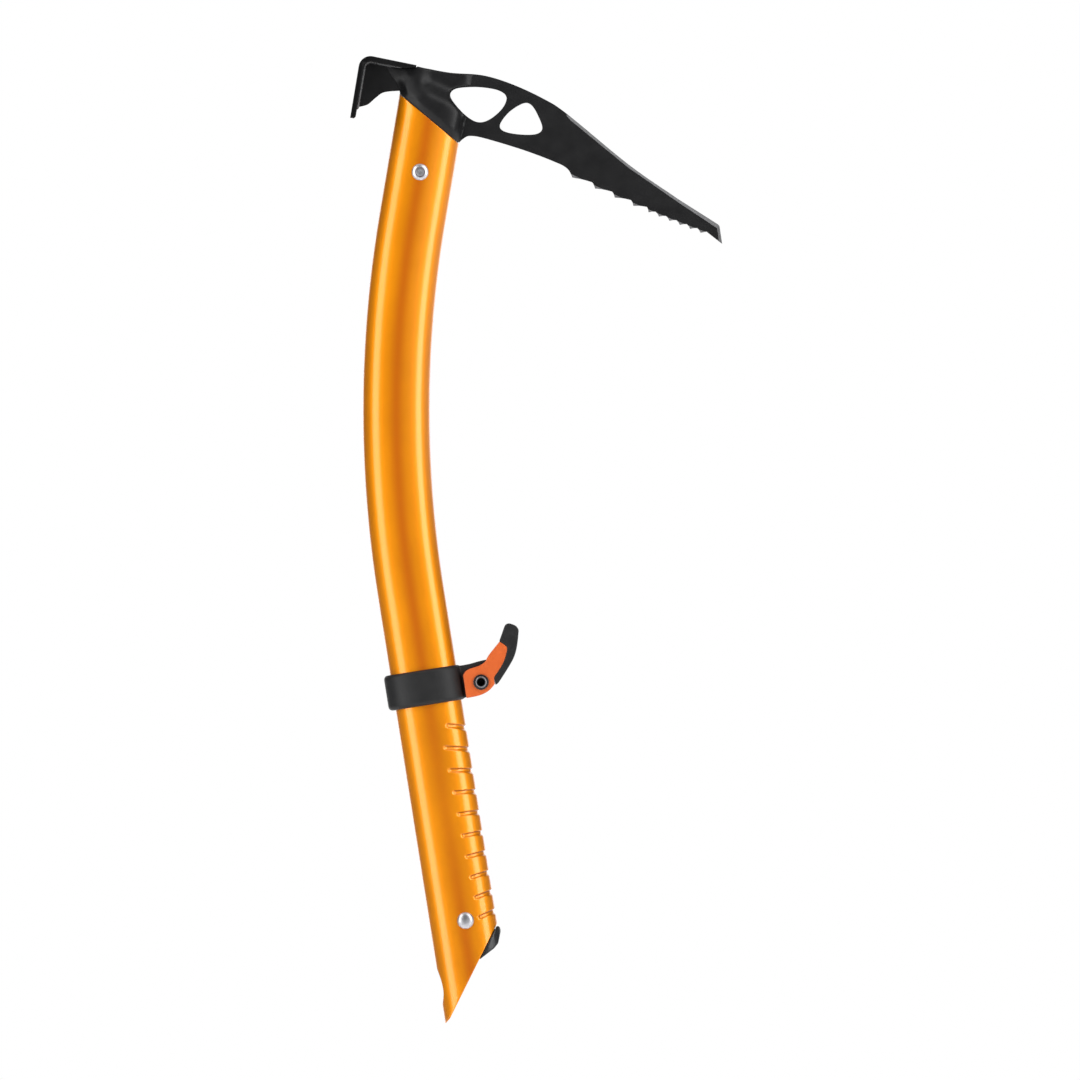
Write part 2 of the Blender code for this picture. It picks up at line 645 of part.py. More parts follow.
def build_band():
    finish = material("band_rubber", (0.035, 0.035, 0.038), 0.0, 0.7)
    centre = (BAND_BACK + BAND_FRONT) / 2
    rx = (BAND_FRONT - BAND_BACK) / 2
    bevel = BAND_BEVEL
    rings = []
    for z, inset in ((BAND_BOTTOM, bevel), (BAND_BOTTOM + bevel, 0.0), (BAND_TOP - bevel, 0.0),
                     (BAND_TOP, bevel)):
        section = oval(rx - inset, BAND_HALF_DEPTH - inset, SIDES, centre)
        rings.append([(x, y, z) for x, y in section])
    band = loft("rest_band", rings, finish)
    nose = arc(PIVOT, LUG_NOSE_RADIUS, 0.0, -math.pi / 2, 6)
    top = [(12.0, 69.3), (17.5, 69.3), (21.7, 69.4), (26.5, 70.0), (30.0, 70.2), (30.6, 67.0)]
    lug_tool = plate("lug_shape", nose + [(18.0, 54.3), (12.0, 54.3)] + top, -LUG_HALF, LUG_HALF)
    boolean(band, lug_tool, "UNION")
    boolean(band, column("band_bore", oval(SHAFT_RX + GAP, SHAFT_RY + GAP), 40, 90))
    hole = arc(PIVOT, BUSH_RADIUS + GAP, 0, 2 * math.pi, ROUND)[:-1]
    boolean(band, plate("lug_hole", hole, -THROUGH, THROUGH))
    return band


def build_pin_parts():
    steel = material("bright_steel", (0.70, 0.70, 0.72), 1.0, 0.25)
    brass = material("bush_bronze", (0.45, 0.30, 0.12), 1.0, 0.4)
    dark = material("dark_steel", (0.08, 0.08, 0.085), 0.8, 0.45)
    bush_bore = PIN_RADIUS + GAP
    bush_half = LUG_HALF - BUSH_RECESS
    bush = turned("lug_bush", [(BUSH_RADIUS, -bush_half), (BUSH_RADIUS, bush_half), (bush_bore, bush_half),
                               (bush_bore, -bush_half)], PIVOT, brass)
    washer_in = LEVER_HALF + GAP
    washer_out = washer_in + WASHER_THICKNESS
    washers = []
    for name, side in (("pin_washer_right", -1), ("pin_washer_left", 1)):
        ring = [(WASHER_RADIUS, washer_in), (WASHER_RADIUS, washer_out - 0.15),
                (WASHER_RADIUS - 0.2, washer_out), (bush_bore, washer_out), (bush_bore, washer_in)]
        washers.append(turned(name, [(r, side * y) for r, y in ring], PIVOT, dark))
    head_base = washer_out + GAP
    head_top = head_base + PIN_HEAD_THICKNESS
    half = [(PIN_RADIUS, head_base), (PIN_HEAD_RADIUS, head_base), (PIN_HEAD_RADIUS, head_base + 0.3),
            (2.3, head_top), (1.8, head_top - 0.05), (PIN_BORE, head_top - 0.5),
            (PIN_BORE, head_top - PIN_BORE_DEPTH), (0, head_top - PIN_BORE_DEPTH - 0.6)]
    pin = turned("trigger_pin", half + [(r, -y) for r, y in reversed(half)], PIVOT, steel)
    return [bush, pin] + washers


def lever_outline():
    bottom = spline([(17.8, 53.9), (24.1, 54.2), (28.2, 55.6), (31.6, 58.5)], 3)
    under_pad = spline([(32.0, 61.7), (35.1, 64.9), (38.0, 68.7), (40.2, 74.2)], 3)
    inner = spline([(37.3, 77.2), (34.2, 74.4), (31.3, 71.7), (30.0, 70.1)], 2)
    top = spline([(29.3, 69.2), (25.7, 67.8), (21.8, 67.2), (19.3, 66.3), (17.9, 64.4)], 3)
    return bottom + under_pad + inner + top


def pad_outline():
    outer = spline([(32.6, 58.6), (33.9, 59.6), (39.4, 65.8), (42.5, 70.0), (44.4, 74.4), (45.8, 79.4)], 3)
    tip = [(46.2, 81.7), (45.6, 82.9), (43.6, 84.3), (42.6, 84.7), (41.5, 84.5), (40.8, 83.7)]
    inner = spline([(37.6, 77.7), (40.6, 74.3), (38.4, 68.5), (35.4, 64.5), (32.5, 61.3)], 3)
    return outer + tip + inner


def build_trigger():
    orange = material("trigger_orange", (0.90, 0.19, 0.03), 0.0, 0.45)
    rubber = material("pad_rubber", (0.03, 0.03, 0.032), 0.0, 0.75)
    lever = plate("trigger_lever", lever_outline(), -LEVER_HALF, LEVER_HALF, orange)
    slot = arc(PIVOT, SLOT_RADIUS, 0, 2 * math.pi, 40)[:-1]
    boolean(lever, plate("lever_slot", slot, -LUG_HALF - GAP, LUG_HALF + GAP))
    hole = arc(PIVOT, PIN_RADIUS + GAP, 0, 2 * math.pi, ROUND)[:-1]
    boolean(lever, plate("lever_hole", hole, -THROUGH, THROUGH))
    pad = plate("trigger_pad", pad_outline(), -PAD_HALF, PAD_HALF, rubber)
    return [lever, pad]


# ---------------------------------------------------------------- assembly

def main():
    for thing in list(bpy.data.objects):
        bpy.data.objects.remove(thing, do_unlink=True)
    head_hole = rivet_hole("head_rivet_hole", HEAD_RIVET)
    tail_hole = rivet_hole("tail_rivet_hole", TAIL_RIVET)
    build_shaft(head_hole, tail_hole)
    build_blade(head_hole)
    build_cheek("head_cheek_right", -1)
    build_cheek("head_cheek_left", 1)
    build_adze()
    spacer_mouth = above_mouth("spacer_mouth_cutter", -1.0)
    build_spacer("tang_spacer_right", -1, head_hole, spacer_mouth)
    build_spacer("tang_spacer_left", 1, head_hole, spacer_mouth)
    build_head_rivet()
    build_tail_rivet()
    build_tail_plug(tail_hole)
    rest = joint_empty("rest_slide_axis", 0.0, (BAND_BOTTOM + BAND_TOP) / 2)
    pivot = joint_empty("trigger_pivot_axis", *PIVOT)
    hang_on(rest, [build_band(), pivot] + build_pin_parts())
    hang_on(pivot, build_trigger())


main()
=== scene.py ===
"""Looks of the ice axe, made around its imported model.

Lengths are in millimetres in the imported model's frame, and become metres when a mesh is made.
+Z runs up the straight grip towards the head, +X towards the pick's point, Y across the axe.
The studio and the camera are laid out in metres.
"""

import json
import math

import bmesh
import bpy
from mathutils import Matrix, Vector
from mathutils.geometry import delaunay_2d_cdt


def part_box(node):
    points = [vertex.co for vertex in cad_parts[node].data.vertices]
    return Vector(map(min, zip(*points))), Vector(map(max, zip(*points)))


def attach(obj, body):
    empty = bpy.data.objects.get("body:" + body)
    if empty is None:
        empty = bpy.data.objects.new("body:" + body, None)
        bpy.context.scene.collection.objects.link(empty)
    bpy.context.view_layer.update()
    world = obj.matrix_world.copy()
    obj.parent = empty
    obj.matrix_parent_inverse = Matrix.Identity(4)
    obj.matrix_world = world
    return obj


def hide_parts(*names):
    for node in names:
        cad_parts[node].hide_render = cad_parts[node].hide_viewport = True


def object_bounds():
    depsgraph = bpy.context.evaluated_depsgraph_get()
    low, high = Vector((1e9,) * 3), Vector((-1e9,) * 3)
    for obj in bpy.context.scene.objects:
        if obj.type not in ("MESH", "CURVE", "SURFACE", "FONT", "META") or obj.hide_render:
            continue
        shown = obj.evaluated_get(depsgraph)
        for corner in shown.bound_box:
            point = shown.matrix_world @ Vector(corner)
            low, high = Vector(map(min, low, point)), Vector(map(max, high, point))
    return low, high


MM = 0.001
ROUND = 2 * math.pi
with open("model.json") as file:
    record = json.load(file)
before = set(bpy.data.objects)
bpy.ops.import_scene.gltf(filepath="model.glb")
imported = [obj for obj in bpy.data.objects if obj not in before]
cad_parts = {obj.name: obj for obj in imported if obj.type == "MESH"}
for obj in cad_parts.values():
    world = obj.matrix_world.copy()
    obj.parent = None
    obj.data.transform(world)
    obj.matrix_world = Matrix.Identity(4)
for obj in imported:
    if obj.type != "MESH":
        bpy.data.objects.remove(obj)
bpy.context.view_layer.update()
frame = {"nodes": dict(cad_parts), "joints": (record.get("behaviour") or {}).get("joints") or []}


def node_box(node):
    """Lowest and highest corner of a CAD node in millimetres."""
    low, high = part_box(node)
    return low / MM, high / MM


def side_centre(node):
    """Middle of a CAD node in the side view."""
    low, high = node_box(node)
    return (low.x + high.x) / 2, (low.z + high.z) / 2


# Shaft, as in the CAD.
SHAFT_LOW, SHAFT_HIGH = node_box("shaft")
SHAFT_RX = -SHAFT_LOW.x
SHAFT_RY = SHAFT_HIGH.y
OVAL_POWER = 2.4
WALL = 1.5
BEND_START = 107.6
BEND_RADIUS = 535.0
BEND_ANGLE = math.radians(18.5)
BEND_END = BEND_START + BEND_RADIUS * BEND_ANGLE
MOUTH_BACK = Vector((30.9, 336.4))
MOUTH_FRONT = Vector((54.5, 309.3))
MOUTH_RUN = (MOUTH_FRONT - MOUTH_BACK).length
MOUTH_ALONG = (MOUTH_FRONT - MOUTH_BACK).normalized()
MOUTH_UP = Vector((-MOUTH_ALONG.y, MOUTH_ALONG.x))
TAIL_FRONT = Vector((15.6, -51.7))
TAIL_LOW = Vector((-13.0, -92.0))
TAIL_POINT = Vector((-15.8, -94.3))
LEASH_HOLE_Z = -78.0
LEASH_HOLE_UP = 10.5
LEASH_HOLE_DOWN = 7.5
LEASH_HOLE_HALF_WIDTH = 5.2
GROOVE_COUNT = 10
GROOVE_WIDTH = 2.3
GROOVE_DEPTH = 0.8
GROOVE_MIDDLE = 10.0  # where its height is taken, in front of the centre line
GROOVE_TOP = 41.9  # height of the uppermost groove
GROOVE_PITCH = 10.55
GROOVE_PITCH_LOSS = 0.07  # half of what each pitch loses against the one above it
GROOVE_SLANT = -15.0  # degrees, at the uppermost groove
GROOVE_SLANT_STEP = 3.4
FIRST_GROOVE_START = 6.1  # in front of the centre line
GROOVE_START = 3.0  # the others start further back, and move forward one by one
GROOVE_START_STEP = 0.45
GRIP_MIDDLE = 8.0  # height at which the painted dark streak is faintest

# Head.
BLADE_HALF = node_box("pick_blade")[1].y
CHEEK_EDGE = 3.6  # half thickness of the head round the front of a cheek
CHEEK_BACK_EDGE = 2.25  # and along its back edge
COLLAR = 3.3  # height of the flared collar above the shaft
BAR_LOW = 3.8  # half thickness of the bar at the adze's corner
BAR_HIGH = 11.0  # and over the shaft
BAR_NOSE = 12.0  # length over which it rounds down at the front
ADZE_THICKNESS = 2.5
ADZE_BEND = 5.5
ADZE_END = Vector((40.5, 348.4))
ADZE_CORNER = Vector((16.15, 357.5))
ADZE_EDGE = Vector((6.6, 328.9))
ADZE_TAPER = 6.5
ADZE_TAPER_END = 0.8
ADZE_EDGE_THICKNESS = 1.8
ADZE_HALF_WIDTHS = (9.0, 13.0, node_box("adze_plate")[1].y)
CHEEK_BACK = [MOUTH_BACK, Vector((30.6, 342.2)), Vector((24.6, 350.5))]
CHEEK_FRONT = [MOUTH_FRONT, Vector((66.5, 340.5))]
WEB_LOW = 333.2  # height of the web's lower end
FIRST_TIP = Vector((104.4, 285.2))
TIP_LINE_ANGLE = math.radians(-32.3)
TIP_LINE_LENGTH = 64.8
TIP_SAG = 1.0
SPINE = [Vector(p) for p in ((171.8, 248.9), (152.3, 266.9), (131.5, 286.8), (106.7, 314.7))]
NOSE = [Vector(p) for p in ((168.3, 240.0), (168.4, 252.0), (168.4, 256.0))]

# Rivets and pin.
HEAD_RIVET = side_centre("head_rivet_sleeve")
TAIL_RIVET = side_centre("tail_rivet")
RIVET_HEAD = 4.0
RIVET_SINK = 0.4  # how far a rivet's rim reaches into the shaft's wall
RIVET_SHANK = 2.3
PIVOT = tuple(v / MM for v in frame["joints"][1]["pos_m"])[::2]
PIN_TOP = node_box("trigger_pin")[1].y
PIN_RADIUS = 2.0
WASHER_TOP = node_box("pin_washer_left")[1].y
WASHER_RADIUS = 3.6
WASHER_BORE = 2.3

# Hand rest.
BAND_LOW, BAND_HIGH = node_box("rest_band")
BAND_TOP = 70.0
BAND_FRONT = 17.3
LUG_HALF = 4.0
LEVER_HALF = node_box("trigger_lever")[1].y
PAD_HALF = node_box("trigger_pad")[1].y
SLOT_RADIUS = 11.3
SLOT_GAP = 0.3
WASHER_GAP = 0.12


# ---------------- materials

def node(tree, kind, inputs=None, **settings):
    """Shader node with its settings, constants and links."""
    made = tree.nodes.new("ShaderNode" + kind)
    for key, value in settings.items():
        setattr(made, key, value)
    for socket, value in (inputs or {}).items():
        if isinstance(value, bpy.types.NodeSocket):
            tree.links.new(value, made.inputs[socket])
        else:
            made.inputs[socket].default_value = value
    return made


def noise(tree, place, scale, detail=2.0, stretch=(1.0, 1.0, 1.0)):
    """Noise value; scale counts its waves in a metre."""
    squeezed = node(tree, "Mapping", {"Vector": place, "Scale": stretch}).outputs["Vector"]
    made = node(tree, "TexNoise", {"Vector": squeezed, "Scale": scale, "Detail": detail})
    return made.outputs["Fac"]


def spread(tree, value, low, high, start=0.3, end=0.7):
    """A noise value moved to run from low to high."""
    inputs = {"Value": value, "From Min": start, "From Max": end, "To Min": low, "To Max": high}
    return node(tree, "MapRange", inputs).outputs["Result"]


def mixed(tree, share, *colours):
    """Colour between two colours or colour sockets."""
    first, second = [c if isinstance(c, bpy.types.NodeSocket) else (*c, 1.0) for c in colours]
    return node(tree, "Mix", {0: share, 6: first, 7: second}, data_type="RGBA").outputs[2]


def surface(name, dark, light, roughness, metallic=0.0, patch=90.0, grain=2500.0, bump=0.03,
            stretch=(1.0, 1.0, 1.0), **shader_values):
    """Procedural finish: two close colours in patches, uneven roughness, and a fine grain as bump."""
    made = bpy.data.materials.new(name)
    made.use_nodes = True
    tree = made.node_tree
    shader = tree.nodes["Principled BSDF"]
    shader.inputs["Metallic"].default_value = metallic
    for socket, value in shader_values.items():
        shader.inputs[socket.replace("_", " ")].default_value = value
    place = node(tree, "TexCoord").outputs["Object"]
    patches = noise(tree, place, patch, 4.0)
    fine = noise(tree, place, grain, 2.0, stretch)
    colour = mixed(tree, spread(tree, patches, 0.0, 1.0), dark, light)
    tree.links.new(colour, shader.inputs["Base Color"])
    cloud = node(tree, "Math", {0: patches, 1: fine}, operation="ADD").outputs[0]
    tree.links.new(spread(tree, cloud, *roughness, 0.6, 1.4), shader.inputs["Roughness"])
    relief = node(tree, "Bump", {"Height": fine, "Strength": 1.0, "Distance": bump * MM})
    tree.links.new(relief.outputs["Normal"], shader.inputs["Normal"])
    return made, tree, shader, colour


def anodised_finish():
    """Satin anodised aluminium with faint lines along the drawn tube.

    A darker, redder streak is painted down the middle of each flat as painted shade, and a painted shadow
    lies under each groove's upper edge.
    """
    made, tree, shader, colour = surface(
        "satin_anodised", (0.79, 0.249, 0.0004), (0.85, 0.277, 0.0005), (0.42, 0.48), metallic=0.66,
        patch=35.0, grain=2600.0, bump=0.006, stretch=(1.0, 1.0, 0.12), Specular_IOR_Level=0.08,
        Coat_Weight=0.80, Coat_Roughness=0.17)
    flat = node(tree, "Attribute", attribute_name="painted_dark_streak").outputs["Fac"]
    groove_shadow = node(tree, "Attribute", attribute_name="groove_painted_shadow").outputs["Fac"]
    # Painted shade: a darker, redder streak down the middle of each flat, standing in for the dark reflection
    # there.
    colour = mixed(tree, flat, colour, (0.68, 0.158, 0.0004))
    # Painted shadow: a dark line under each groove's upper edge.
    tree.links.new(mixed(tree, groove_shadow, colour, (0.20, 0.055, 0.002)), shader.inputs["Base Color"])
    return made


def black_steel_finish():
    """Black coated steel: bare metal where the bare attribute says so, and painted shade, darker with weaker
    reflections, where the shade attribute says so.
    """
    made, tree, shader, colour = surface(
        "black_coated_steel", (0.0055, 0.0055, 0.0060), (0.0085, 0.0085, 0.0090), (0.36, 0.46),
        patch=160.0, grain=3200.0, bump=0.008, Specular_IOR_Level=0.25)
    bare = node(tree, "Attribute", attribute_name="bare").outputs["Fac"]
    thick = node(tree, "Attribute", attribute_name="adze_painted_shade").outputs["Fac"]
    # Painted shade: the marked surface is darkened and its reflections are dimmed.
    tree.links.new(spread(tree, thick, 0.25, 0.07, 0.0, 1.0), shader.inputs["Specular IOR Level"])
    colour = mixed(tree, thick, colour, (0.002, 0.002, 0.0022))
    place = tree.nodes["Texture Coordinate"].outputs["Object"]
    streaks = noise(tree, place, 900.0, 3.0)
    worn = node(tree, "Math", {0: bare, 1: spread(tree, streaks, 0.6, 1.0)}, operation="MULTIPLY")
    tree.links.new(mixed(tree, worn.outputs[0], colour, (0.42, 0.42, 0.43)), shader.inputs["Base Color"])
    tree.links.new(worn.outputs[0], shader.inputs["Metallic"])
    return made


def rivet_steel_finish():
    """Bright steel, darkened where the attribute says so: painted shade in hollows, a darker tone on the
    pin's rolled ends, and darker towards the tail rivet's middle.
    """
    made, tree, shader, colour = surface(
        "polished_rivet_steel", (0.46, 0.46, 0.49), (0.58, 0.58, 0.61), (0.34, 0.42), metallic=1.0,
        patch=700.0, grain=5000.0, bump=0.006)
    painted_shade_and_tone = node(tree, "Attribute", attribute_name="painted_shade_and_tone").outputs["Fac"]
    tree.links.new(mixed(tree, painted_shade_and_tone, colour, (0.012, 0.012, 0.013)), shader.inputs["Base Color"])
    return made


FINISHES = {
    "anodised_shaft": anodised_finish(),
    "black_steel": black_steel_finish(),
    "rivet_steel": rivet_steel_finish(),
    "plug_plastic": surface(
        "moulded_black_plastic", (0.0055, 0.0060, 0.0075), (0.0090, 0.0098, 0.0120), (0.28, 0.38),
        patch=200.0, grain=3500.0, bump=0.015)[0],
    "band_rubber": surface(
        "black_elastomer", (0.0065, 0.0065, 0.0070), (0.0105, 0.0105, 0.0110), (0.44, 0.58),
        patch=180.0, grain=3800.0, bump=0.030, Specular_IOR_Level=0.36)[0],
    "pad_rubber": surface(
        "grip_rubber", (0.0060, 0.0060, 0.0065), (0.0100, 0.0100, 0.0105), (0.46, 0.60),
        patch=220.0, grain=3600.0, bump=0.035, Specular_IOR_Level=0.34)[0],
    "trigger_plastic": surface(
        "orange_moulded_plastic", (0.57, 0.094, 0.010), (0.62, 0.110, 0.014), (0.38, 0.50),
        patch=120.0, grain=3000.0, bump=0.020)[0],
    "washer_steel": surface(
        "dark_washer_steel", (0.030, 0.030, 0.032), (0.055, 0.055, 0.058), (0.30, 0.42),
        metallic=0.9, patch=500.0, grain=4000.0, bump=0.010)[0],
    "bush_bronze": surface(
        "bronze_bush", (0.40, 0.26, 0.10), (0.52, 0.35, 0.15), (0.32, 0.45),
        metallic=1.0, patch=500.0, grain=4000.0, bump=0.010)[0],
    "spacer_plastic": surface(
        "spacer_nylon", (0.030, 0.030, 0.030), (0.045, 0.045, 0.045), (0.55, 0.70),
        patch=200.0, grain=2500.0, bump=0.030)[0],
}


# ---------------- meshes

def added(name, data):
    """New object in the scene."""
    thing = bpy.data.objects.new(name, data)
    bpy.context.scene.collection.objects.link(thing)
    return thing


def make_mesh(name, points, faces, flat=(), sharp=35.0):
    """Object from points in millimetres; faces listed in flat keep flat shading."""
    mesh = bpy.data.meshes.new(name)
    mesh.from_pydata([Vector(p) * MM for p in points], [], faces)
    bm = bmesh.new()
    bm.from_mesh(mesh)
    bmesh.ops.recalc_face_normals(bm, faces=bm.faces)
    bm.to_mesh(mesh)
    bm.free()
    mesh.shade_smooth()
    mesh.set_sharp_from_angle(angle=math.radians(sharp))
    for i in flat:
        mesh.polygons[i].use_smooth = False
    return added(name, mesh)


def apply_modifiers(thing):
    """Bake an object's modifiers into its mesh, and remove their helpers."""
    helpers = [m.object for m in thing.modifiers if m.type == "BOOLEAN"]
    bpy.context.view_layer.update()
    mesh = bpy.data.meshes.new_from_object(thing.evaluated_get(bpy.context.evaluated_depsgraph_get()))
    thing.modifiers.clear()
    thing.data = mesh
    for helper in helpers:
        bpy.data.objects.remove(helper, do_unlink=True)


def cut(thing, tool, operation="DIFFERENCE"):
    """Boolean; the faces it makes take the tool's material."""
    modifier = thing.modifiers.new("cut", "BOOLEAN")
    modifier.operation = operation
    modifier.object = tool
    modifier.material_mode = "TRANSFER"
    apply_modifiers(thing)


def soften(thing, voxel, rounds):
    """Give an object a skin of small even faces with every edge rounded, as on a moulded piece."""
    remesh = thing.modifiers.new("skin", "REMESH")
    remesh.mode = "VOXEL"
    remesh.voxel_size = voxel * MM
    smooth = thing.modifiers.new("soft", "SMOOTH")
    smooth.factor = 0.5
    smooth.iterations = rounds
    apply_modifiers(thing)
    thing.data.shade_smooth()


def finish_piece(thing, slot, body, *nodes):
    """Material of the slot's finish, body, and the hidden CAD nodes that the piece stands for."""
    finish = FINISHES[slot]
    if len(thing.data.materials) == 0:
        thing.data.materials.append(finish)
    for i in range(len(thing.data.materials)):
        thing.data.materials[i] = finish
    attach(thing, body)
    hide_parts(*nodes)


def paint(thing, name, value_at):
    """Fill a finish attribute from a function of the point in millimetres."""
    layer = thing.data.attributes.new(name, "FLOAT", "CORNER")
    for loop, item in zip(thing.data.loops, layer.data):
        item.value = value_at(thing.data.vertices[loop.vertex_index].co / MM)


def rings_mesh(name, rings, closed=False, sharp=35.0):
    """Skin through rings of equal point counts: closed round on itself, or capped."""
    count = len(rings[0])
    points = [p for ring in rings for p in ring]
    faces = []
    pairs = len(rings) if closed else len(rings) - 1
    for r in range(pairs):
        low = r * count
        high = (r + 1) % len(rings) * count
        for i in range(count):
            j = (i + 1) % count
            faces.append((low + i, low + j, high + j, high + i))
    flat = []
    if not closed:
        flat = [len(faces), len(faces) + 1]
        faces.append(tuple(reversed(range(count))))
        faces.append(tuple(range(len(points) - count, len(points))))
    return make_mesh(name, points, faces, flat, sharp)


def turned(name, profile, centre, segments=64, sharp=35.0):
    """Solid turned about a Y axis through centre; profile is a closed loop of (radius, y)."""
    points = []
    rings = []
    for radius, y in profile:
        ring = []
        for i in range(segments if radius > 0 else 1):
            angle = ROUND * i / segments
            ring.append(len(points))
            points.append((centre[0] + radius * math.cos(angle), y, centre[1] + radius * math.sin(angle)))
        rings.append(ring)
    faces = []
    for a, b in zip(rings, rings[1:] + rings[:1]):
        if len(a) == 1 and len(b) == 1:
            continue
        for i in range(segments):
            j = (i + 1) % segments
            corners = (a[i % len(a)], a[j % len(a)], b[j % len(b)], b[i % len(b)])
            faces.append(tuple(dict.fromkeys(corners)))
    return make_mesh(name, points, faces, sharp=sharp)


# ---------------- outlines

def node_loops(name, y):
    """Outlines of a CAD node's flat faces at one Y: the outer one first, then its holes."""
    mesh = frame["nodes"][name].data
    edges = set()
    for polygon in mesh.polygons:
        corners = [mesh.vertices[i].co / MM for i in polygon.vertices]
        if any(abs(c.y - y) > 0.01 for c in corners):
            continue
        keys = [(round(c.x, 3), round(c.z, 3)) for c in corners]
        for a, b in zip(keys, keys[1:] + keys[:1]):
            if (b, a) in edges:
                edges.remove((b, a))
            else:
                edges.add((a, b))
    following = dict(sorted(edges))
    loops = []
    while following:
        start, here = following.popitem()
        loop = [Vector(start)]
        while here != start:
            loop.append(Vector(here))
            here = following.pop(here)
        loops.append(loop)
    loops.sort(key=lambda loop: -abs(area(loop)))
    return [loop if (area(loop) > 0) == (k == 0) else loop[::-1] for k, loop in enumerate(loops)]


def area(loop):
    """Signed area of a closed outline."""
    return sum(a.cross(b) for a, b in zip(loop, loop[1:] + loop[:1])) / 2


def refined(loop, spacing, corner=math.radians(38)):
    """Closed outline with more points: curved through gentle turns, straight up to sharp corners."""
    kept = [p for i, p in enumerate(loop) if (p - loop[i - 1]).length > 0.08]
    count = len(kept)
    tangents = []
    for i, point in enumerate(kept):
        before = point - kept[i - 1]
        after = kept[(i + 1) % count] - point
        a, b = before.length, after.length
        before.normalize()
        after.normalize()
        if before.angle(after) > corner:
            tangents.append((before, after))
        elif a > 2.5 * b:
            tangents.append((before, before))
        elif b > 2.5 * a:
            tangents.append((after, after))
        else:
            middle = (before * b + after * a) / (a + b)
            tangents.append((middle, middle))
    fine = []
    for i, start in enumerate(kept):
        end = kept[(i + 1) % count]
        reach = (end - start).length
        out, arrive = tangents[i][1] * reach, tangents[(i + 1) % count][0] * reach
        steps = max(1, round(reach / spacing))
        for k in range(steps):
            t = k / steps
            fine.append(start * (2 * t ** 3 - 3 * t ** 2 + 1) + out * (t ** 3 - 2 * t ** 2 + t)
                        + end * (3 * t ** 2 - 2 * t ** 3) + arrive * (t ** 3 - t ** 2))
    return fine


def inset(loop, amount):
    """Outline moved to its left, which is into the material."""
    moved = []
    for i, point in enumerate(loop):
        before = (point - loop[i - 1]).normalized()
        after = (loop[(i + 1) % len(loop)] - point).normalized()
        first = Vector((-before.y, before.x))
        second = Vector((-after.y, after.x))
        moved.append(point + (first + second) / max(0.15, 1 + first.dot(second)) * amount)
    return moved


def inside(point, loop):
    """True if the point lies inside the closed outline."""
    crossings = 0
    for a, b in zip(loop, loop[1:] + loop[:1]):
        if (a.y > point.y) != (b.y > point.y):
            crossings += point.x < a.x + (b.x - a.x) * (point.y - a.y) / (b.y - a.y)
    return crossings % 2 == 1


def filled(loops, extra=(), creases=()):
    """Triangles inside the loops, through extra points and along creases."""
    points = [p for loop in loops for p in loop]
    edges = []
    first = 0
    for loop in loops:
        edges += [(first + i, first + (i + 1) % len(loop)) for i in range(len(loop))]
        first += len(loop)
    for crease in creases:
        edges += [(len(points) + i, len(points) + i + 1) for i in range(len(crease) - 1)]
        points += crease
    points += extra
    where, _, faces, *_ = delaunay_2d_cdt(points, edges, [], 1, 1e-5)
    holes = loops[1:] if not extra else []

    def in_hole(face):
        middle = sum((where[i] for i in face), Vector((0, 0))) / 3
        return any(inside(middle, hole) for hole in holes)

    return where, [face for face in faces if not in_hole(face)]


def rounding(radius, steps):
    """Quarter circle from one flat side of an edge to the other, as distances from the two sides."""
    angles = [math.pi / 2 * k / steps for k in range(steps + 1)]
    return [(radius * (1 - math.sin(a)), radius * (1 - math.cos(a))) for a in angles]


def plate(name, loops, half, edge, steps=4, spacing=0.7, sharp=35.0):
    """Flat piece with rounded edges, symmetric about the axe's middle plane."""
    loops = [refined(loop, spacing) for loop in loops]
    levels = [(inward, half - fall) for fall, inward in rounding(edge, steps)]
    levels = [(i, -y) for i, y in reversed(levels)] + levels
    points = []
    faces = []
    rims = []
    for loop in loops:
        first = len(points)
        count = len(loop)
        for amount, y in levels:
            points += [(p.x, y, p.y) for p in inset(loop, amount)]
        for r in range(len(levels) - 1):
            for i in range(count):
                j = (i + 1) % count
                low = first + r * count
                faces.append((low + i, low + j, low + count + j, low + count + i))
        rims.append((first, first + (len(levels) - 1) * count, count))
    where, triangles = filled([inset(loop, edge) for loop in loops])
    assert len(where) == sum(rim[2] for rim in rims), name
    flat = []
    for side in (0, 1):
        index = [rim[side] + i for rim in rims for i in range(rim[2])]
        for triangle in triangles:
            flat.append(len(faces))
            faces.append(tuple(index[i] for i in triangle))
    return make_mesh(name, points, faces, flat, sharp)


def signed_power(value, power):
    """Power of a value's size, with the value's sign."""
    return math.copysign(abs(value) ** power, value)


def oval_point(turn, inset_by=0.0, rx=SHAFT_RX, ry=SHAFT_RY):
    """Point of the shaft's section at a turn from 0 to 1, and the outward normal there."""
    c, s = math.cos(ROUND * turn), math.sin(ROUND * turn)
    power = 2 / OVAL_POWER
    point = Vector((signed_power(c, power) * (rx - inset_by), signed_power(s, power) * (ry - inset_by)))
    normal = Vector((signed_power(c, 2 - power) / rx, signed_power(s, 2 - power) / ry))
    return point, normal.normalized()


def smoothstep(t):
    """Smooth rise from 0 to 1 while t runs from 0 to 1."""
    t = min(1.0, max(0.0, t))
    return t * t * (3 - 2 * t)


# ---------------- shaft

def shaft_point(length):
    """Centre line at a length above the origin: x, z and the forward tilt there."""
    if length <= BEND_START:
        return 0.0, length, 0.0
    angle = min((length - BEND_START) / BEND_RADIUS, BEND_ANGLE)
    beyond = max(0.0, length - BEND_END)
    x = BEND_RADIUS * (1 - math.cos(angle)) + beyond * math.sin(angle)
    z = BEND_START + BEND_RADIUS * math.sin(angle) + beyond * math.cos(angle)
    return x, z, angle


def tail_length(across):
    """Length at which the slanted tail cut meets a line along the tube."""
    slope = TAIL_FRONT - TAIL_LOW if across > TAIL_LOW.x else TAIL_LOW - TAIL_POINT
    return TAIL_LOW.y + (across - TAIL_LOW.x) * slope.y / slope.x


